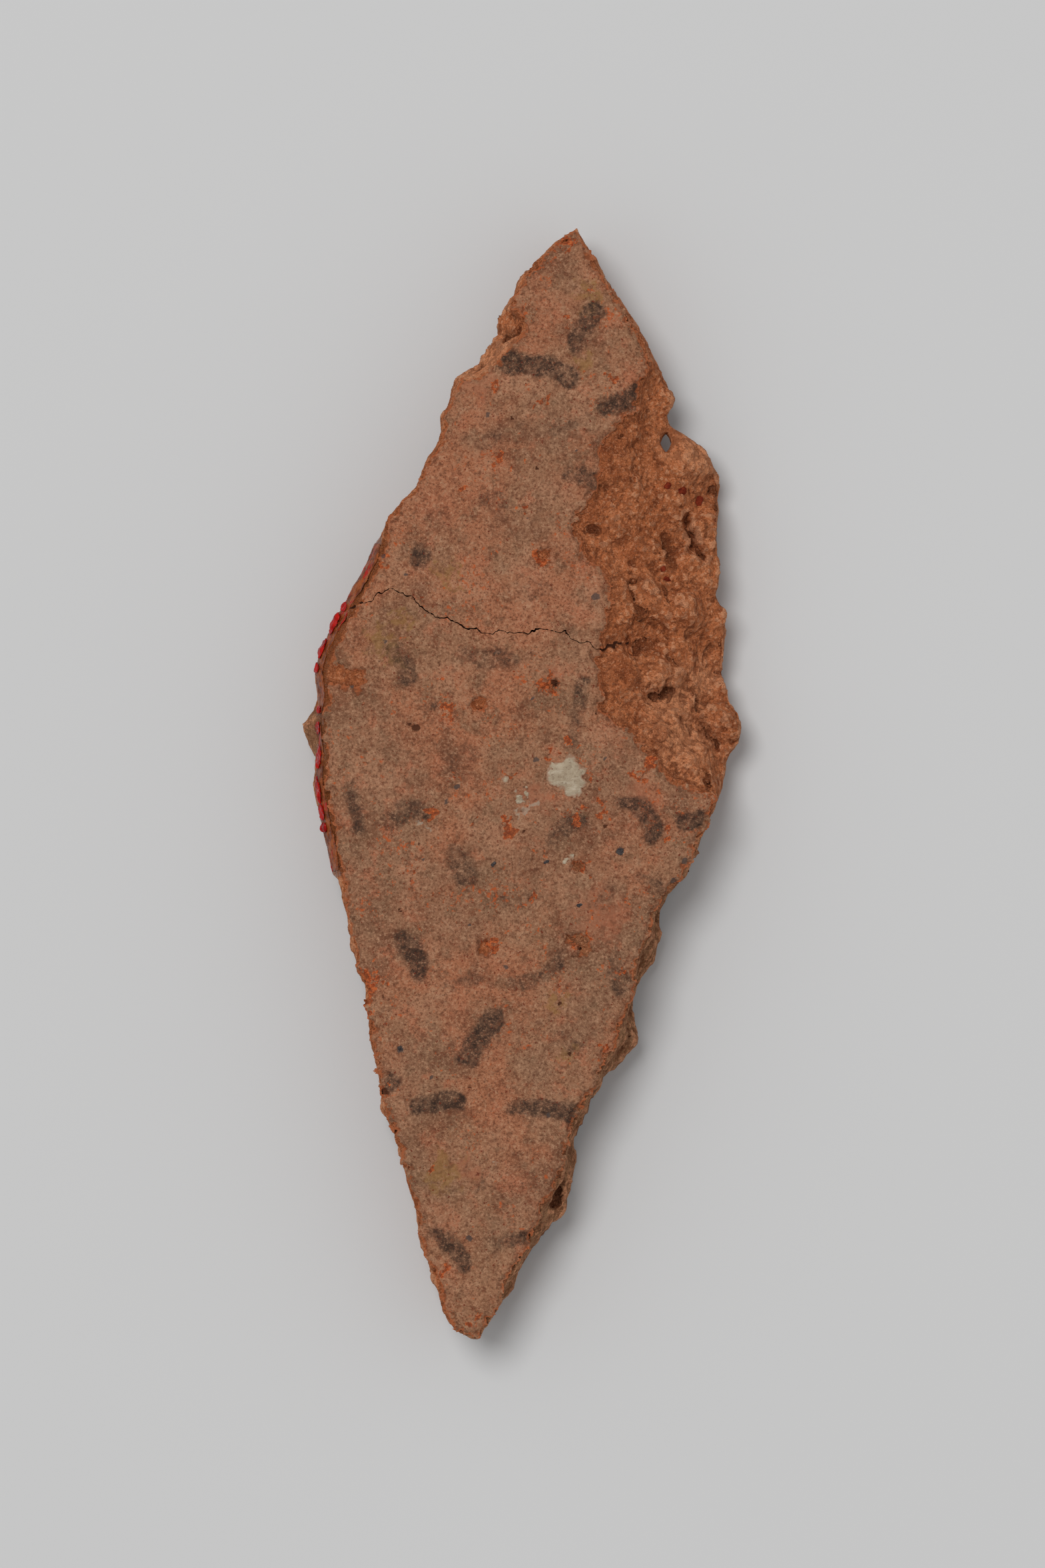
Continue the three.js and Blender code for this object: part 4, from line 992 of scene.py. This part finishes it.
# %% Lime crusts
lime = Finish("burial lime", specular=0.15)
patchy = lime.noise(0.45, 4, 0.7)
lime.tone = lime.blend((0.3, 0.23, 0.155), (0.41, 0.33, 0.235), patchy, 0.35, 0.7)
lime.over((0.5, 0.43, 0.33), lime.noise(0.13, 3, 0.7, 3, 5), 0.5, 0.65, 0.5)
lime.over((0.17, 0.11, 0.07), lime.noise(0.12, 3, 0.75, 5), 0.48, 0.34, 0.6)
lime.over((0.27, 0.14, 0.085), lime.mark("margin", 0.22, 0.02, 0.8, 0.7))
lime.over((0.2, 0.1, 0.06), lime.spots(0.5, 0.4, 0.16))
relief = lime.bump(lime.noise(0.14, 3, 0.7), 0.06)
for node, ragged, cell in (
    ("lime_patch", 0.4, 0.1),
    ("lime_speck_1", 1.1, 0.07),
    ("lime_speck_2", 0.3, 0.06),
    ("lime_speck_3", 0.3, 0.06),
):
    crust = lay_coat(f"{node}_crust", node, CoatOutline(node, ragged, -0.2), cell * MM, 0.46 * MM, 0.08)
    if ragged < 1:
        keep_sheet(crust)
    roughen_coat(crust, [(1.1, 0.05), (0.3, 0.04)], 0.12)
    lime.dress(crust, 0.9, relief)
    stand_in(crust, node)
    print(crust.name, "faces:", len(crust.data.polygons))

# %% [markdown]
# ## Grains bedded in the clay
# Crushed brick and dark grit are angular crumbs, broken off or worn level with the clay round them. The CAD
# grain is a plain faceted ball, so it is subdivided, chipped by noise, and pressed down to its surroundings.

# %% Crumbs of brick and grit
# The dark and the light tone of each kind
TONES = {
    "grog": ((0.09, 0.009, 0.004), (0.2, 0.028, 0.009)),
    "grit": ((0.03, 0.025, 0.026), (0.09, 0.075, 0.07)),
}
ground = tree_of(sherd, *slip_coats.values())


def ground_round(middle, reach):
    """The height of what surrounds a place, as the median of rays cast down in a ring round it"""
    heights = []
    for turn in range(12):
        angle = math.tau * turn / 12
        above = Vector((middle.x + reach * math.cos(angle), middle.y + reach * math.sin(angle), 0.05))
        hit = ground.ray_cast(above, Vector((0, 0, -1)))[0]
        heights += [hit.z] if hit else []
    return float(np.median(heights))


for slot, prefix, count in (("grog", "grog_grain", 6), ("grit", "face_grit", 5)):
    crumb = Finish(f"{slot} crumb", specular=0.1)
    crumb.tone = crumb.blend(*TONES[slot], crumb.noise(0.2, 4, 0.7), 0.35, 0.65)
    relief = crumb.bump(crumb.noise(0.12, 3, 0.7), 0.1)
    for number in range(1, count + 1):
        node = f"{prefix}_{number}"
        low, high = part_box(node)
        middle = (low + high) / 2
        level = ground_round(middle, 0.6 * (high.x - low.x))
        grain = copy_of(node, f"{node}_chipped")
        apply_modifier(grain, "SUBSURF", subdivision_type="SIMPLE", levels=2, render_levels=2)
        roughen(grain, "", 0.4, 0.2, "VORONOI_F2_F1")
        rows = places(grain)
        rows[:, 2] = np.minimum(rows[:, 2], level + 0.1 * MM + 0.15 * (rows[:, 2] - level))
        put(grain, rows)
        crumb.dress(grain, 0.8, relief)
        stand_in(grain, node)
    print(slot, "crumbs:", count)

# %% [markdown]
# ## Film and drips on the left break
# A conservator's clear film was brushed along the left break and dried in wrinkles, with red drips in it.
# The CAD shell and drips get a finer mesh, are drawn down close to the rough clay as a liquid would settle,
# and are wrinkled by noise. A weak coat on the shader gives the wet gleam.

# %% Settle a liquid on the clay
clay_surface = tree_of(sherd)


def settle(piece, film_depth, kept):
    """Draws a piece to the clay: what stands off further than the film's depth keeps a share of the rest"""
    rows = places(piece)
    for index, row in enumerate(rows):
        near, way, _, away = clay_surface.find_nearest(Vector(row))
        if (Vector(row) - near).dot(way) > 0 and away > film_depth * MM:
            wanted = film_depth * MM + kept * (away - film_depth * MM)
            rows[index] = near + (Vector(row) - near) * (wanted / away)
    put(piece, rows)


# %% Glossy film
film = Finish("clear film over clay", specular=0.1, coat=0.06)
wrinkle = film.noise(0.5, 4, 0.7, 3, 80)
film.tone = film.blend((0.12, 0.026, 0.007), (0.3, 0.078, 0.02), film.noise(0.3, 4, 0.75), 0.4, 0.6)
film.over((0.4, 0.01, 0.005), wrinkle, 0.55, 0.6, 0.9)
# Painted highlight: pale streaks stand in for glints on the glossy film.
film.over((0.5, 0.3, 0.24), film.noise(0.15, 3, 0.7, 6, 80), 0.68, 0.73, 0.5)
relief = film.bump(film.noise(0.25, 3, 0.6, 2), 0.12)
for node in FILM:
    skin = copy_of(node, f"{node}_wrinkled")
    with editing(skin, parts="polygons"):
        bpy.ops.mesh.subdivide(number_cuts=5, smoothness=0)
    settle(skin, 0.06, 0.1)
    roughen(skin, "", 0.8, 0.14)
    roughen(skin, "", 0.3, 0.12)
    film.dress(skin, 0.3, relief)
    bpy.ops.object.shade_smooth()
    stand_in(skin, node)
    print(skin.name, "faces:", len(skin.data.polygons))

# %% Red drips
gloss = Finish("red gloss", specular=0.1, coat=0.1)
gloss.tone = gloss.blend((0.2, 0.003, 0.002), (0.43, 0.007, 0.003), gloss.noise(0.4, 3), 0.35, 0.65)
relief = gloss.bump(gloss.noise(0.3, 2, 0.5, 3), 0.08)
for number in range(1, 11):
    node = f"red_drip_{number}"
    bead = copy_of(node, f"{node}_bead")
    apply_modifier(bead, "REMESH", mode="VOXEL", voxel_size=0.06 * MM)
    middle = sum(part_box(node), Vector()) / 2
    with editing(bead):
        bpy.ops.transform.resize(value=(1, 1.35, 1), center_override=middle)
    settle(bead, 0.12, 0.3)
    apply_modifier(bead, "SMOOTH", factor=0.6, iterations=3)
    roughen(bead, "", 0.5, 0.35)
    gloss.dress(bead, 0.2, relief)
    bpy.ops.object.shade_smooth()
    stand_in(bead, node)
print("Red drips:", number)

# %% [markdown]
# ## Floor, light and camera
# The sherd lies on plain pale grey, seen straight from above through a long lens. The light is even from all
# sides, and a soft lamp from the upper left models the relief and casts the short shadow at the right.

# %% Studio
bpy.ops.object.select_all(action="DESELECT")
bpy.ops.mesh.primitive_plane_add(size=1.2, location=(0, 0, 0))
floor = bpy.context.object
floor.name = "floor"
grey = Finish("pale grey ground", specular=0)
paper = grey.noise(60, 2, 0.5)
grey.tone = grey.blend((0.562, 0.562, 0.562), (0.572, 0.572, 0.572), paper)
grey.dress(floor, 0.9, grey.bump(paper, 0.1))
floor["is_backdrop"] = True

world = bpy.data.worlds.new("even light")
bpy.context.scene.world = world
world.use_nodes = True
world.node_tree.nodes["Background"].inputs["Color"].default_value = (1, 1, 1, 1)
world.node_tree.nodes["Background"].inputs["Strength"].default_value = 0.5

KEY_FROM = Vector((-0.75, 0.85, 3.2))
lamp = new_object("soft key", bpy.data.lights.new("soft key", "AREA"))
lamp.location = KEY_FROM
lamp.rotation_euler = (-KEY_FROM).to_track_quat("-Z", "Y").to_euler()
lamp.data.shape = "DISK"
lamp.data.size = 1.4
lamp.data.energy = 63

CAMERA_HEIGHT = 0.8
PHOTO_HEIGHT, PIXELS_PER_MM = 2352, 20
camera = new_object("camera", bpy.data.cameras.new("camera"))
camera.location = (0.0001, 0.000125, CAMERA_HEIGHT + cad_high.z)
camera.data.lens = camera.data.sensor_width * CAMERA_HEIGHT / (PHOTO_HEIGHT / PIXELS_PER_MM * MM)
camera.data.clip_start = 0.05
bpy.context.scene.camera = camera
bpy.context.scene.view_settings.view_transform = "Standard"
print("Lens in mm:", round(camera.data.lens, 1))

# %% Size of the visual model
low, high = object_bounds()
print("Visual box in mm:", [round(side / MM, 2) for side in high - low])
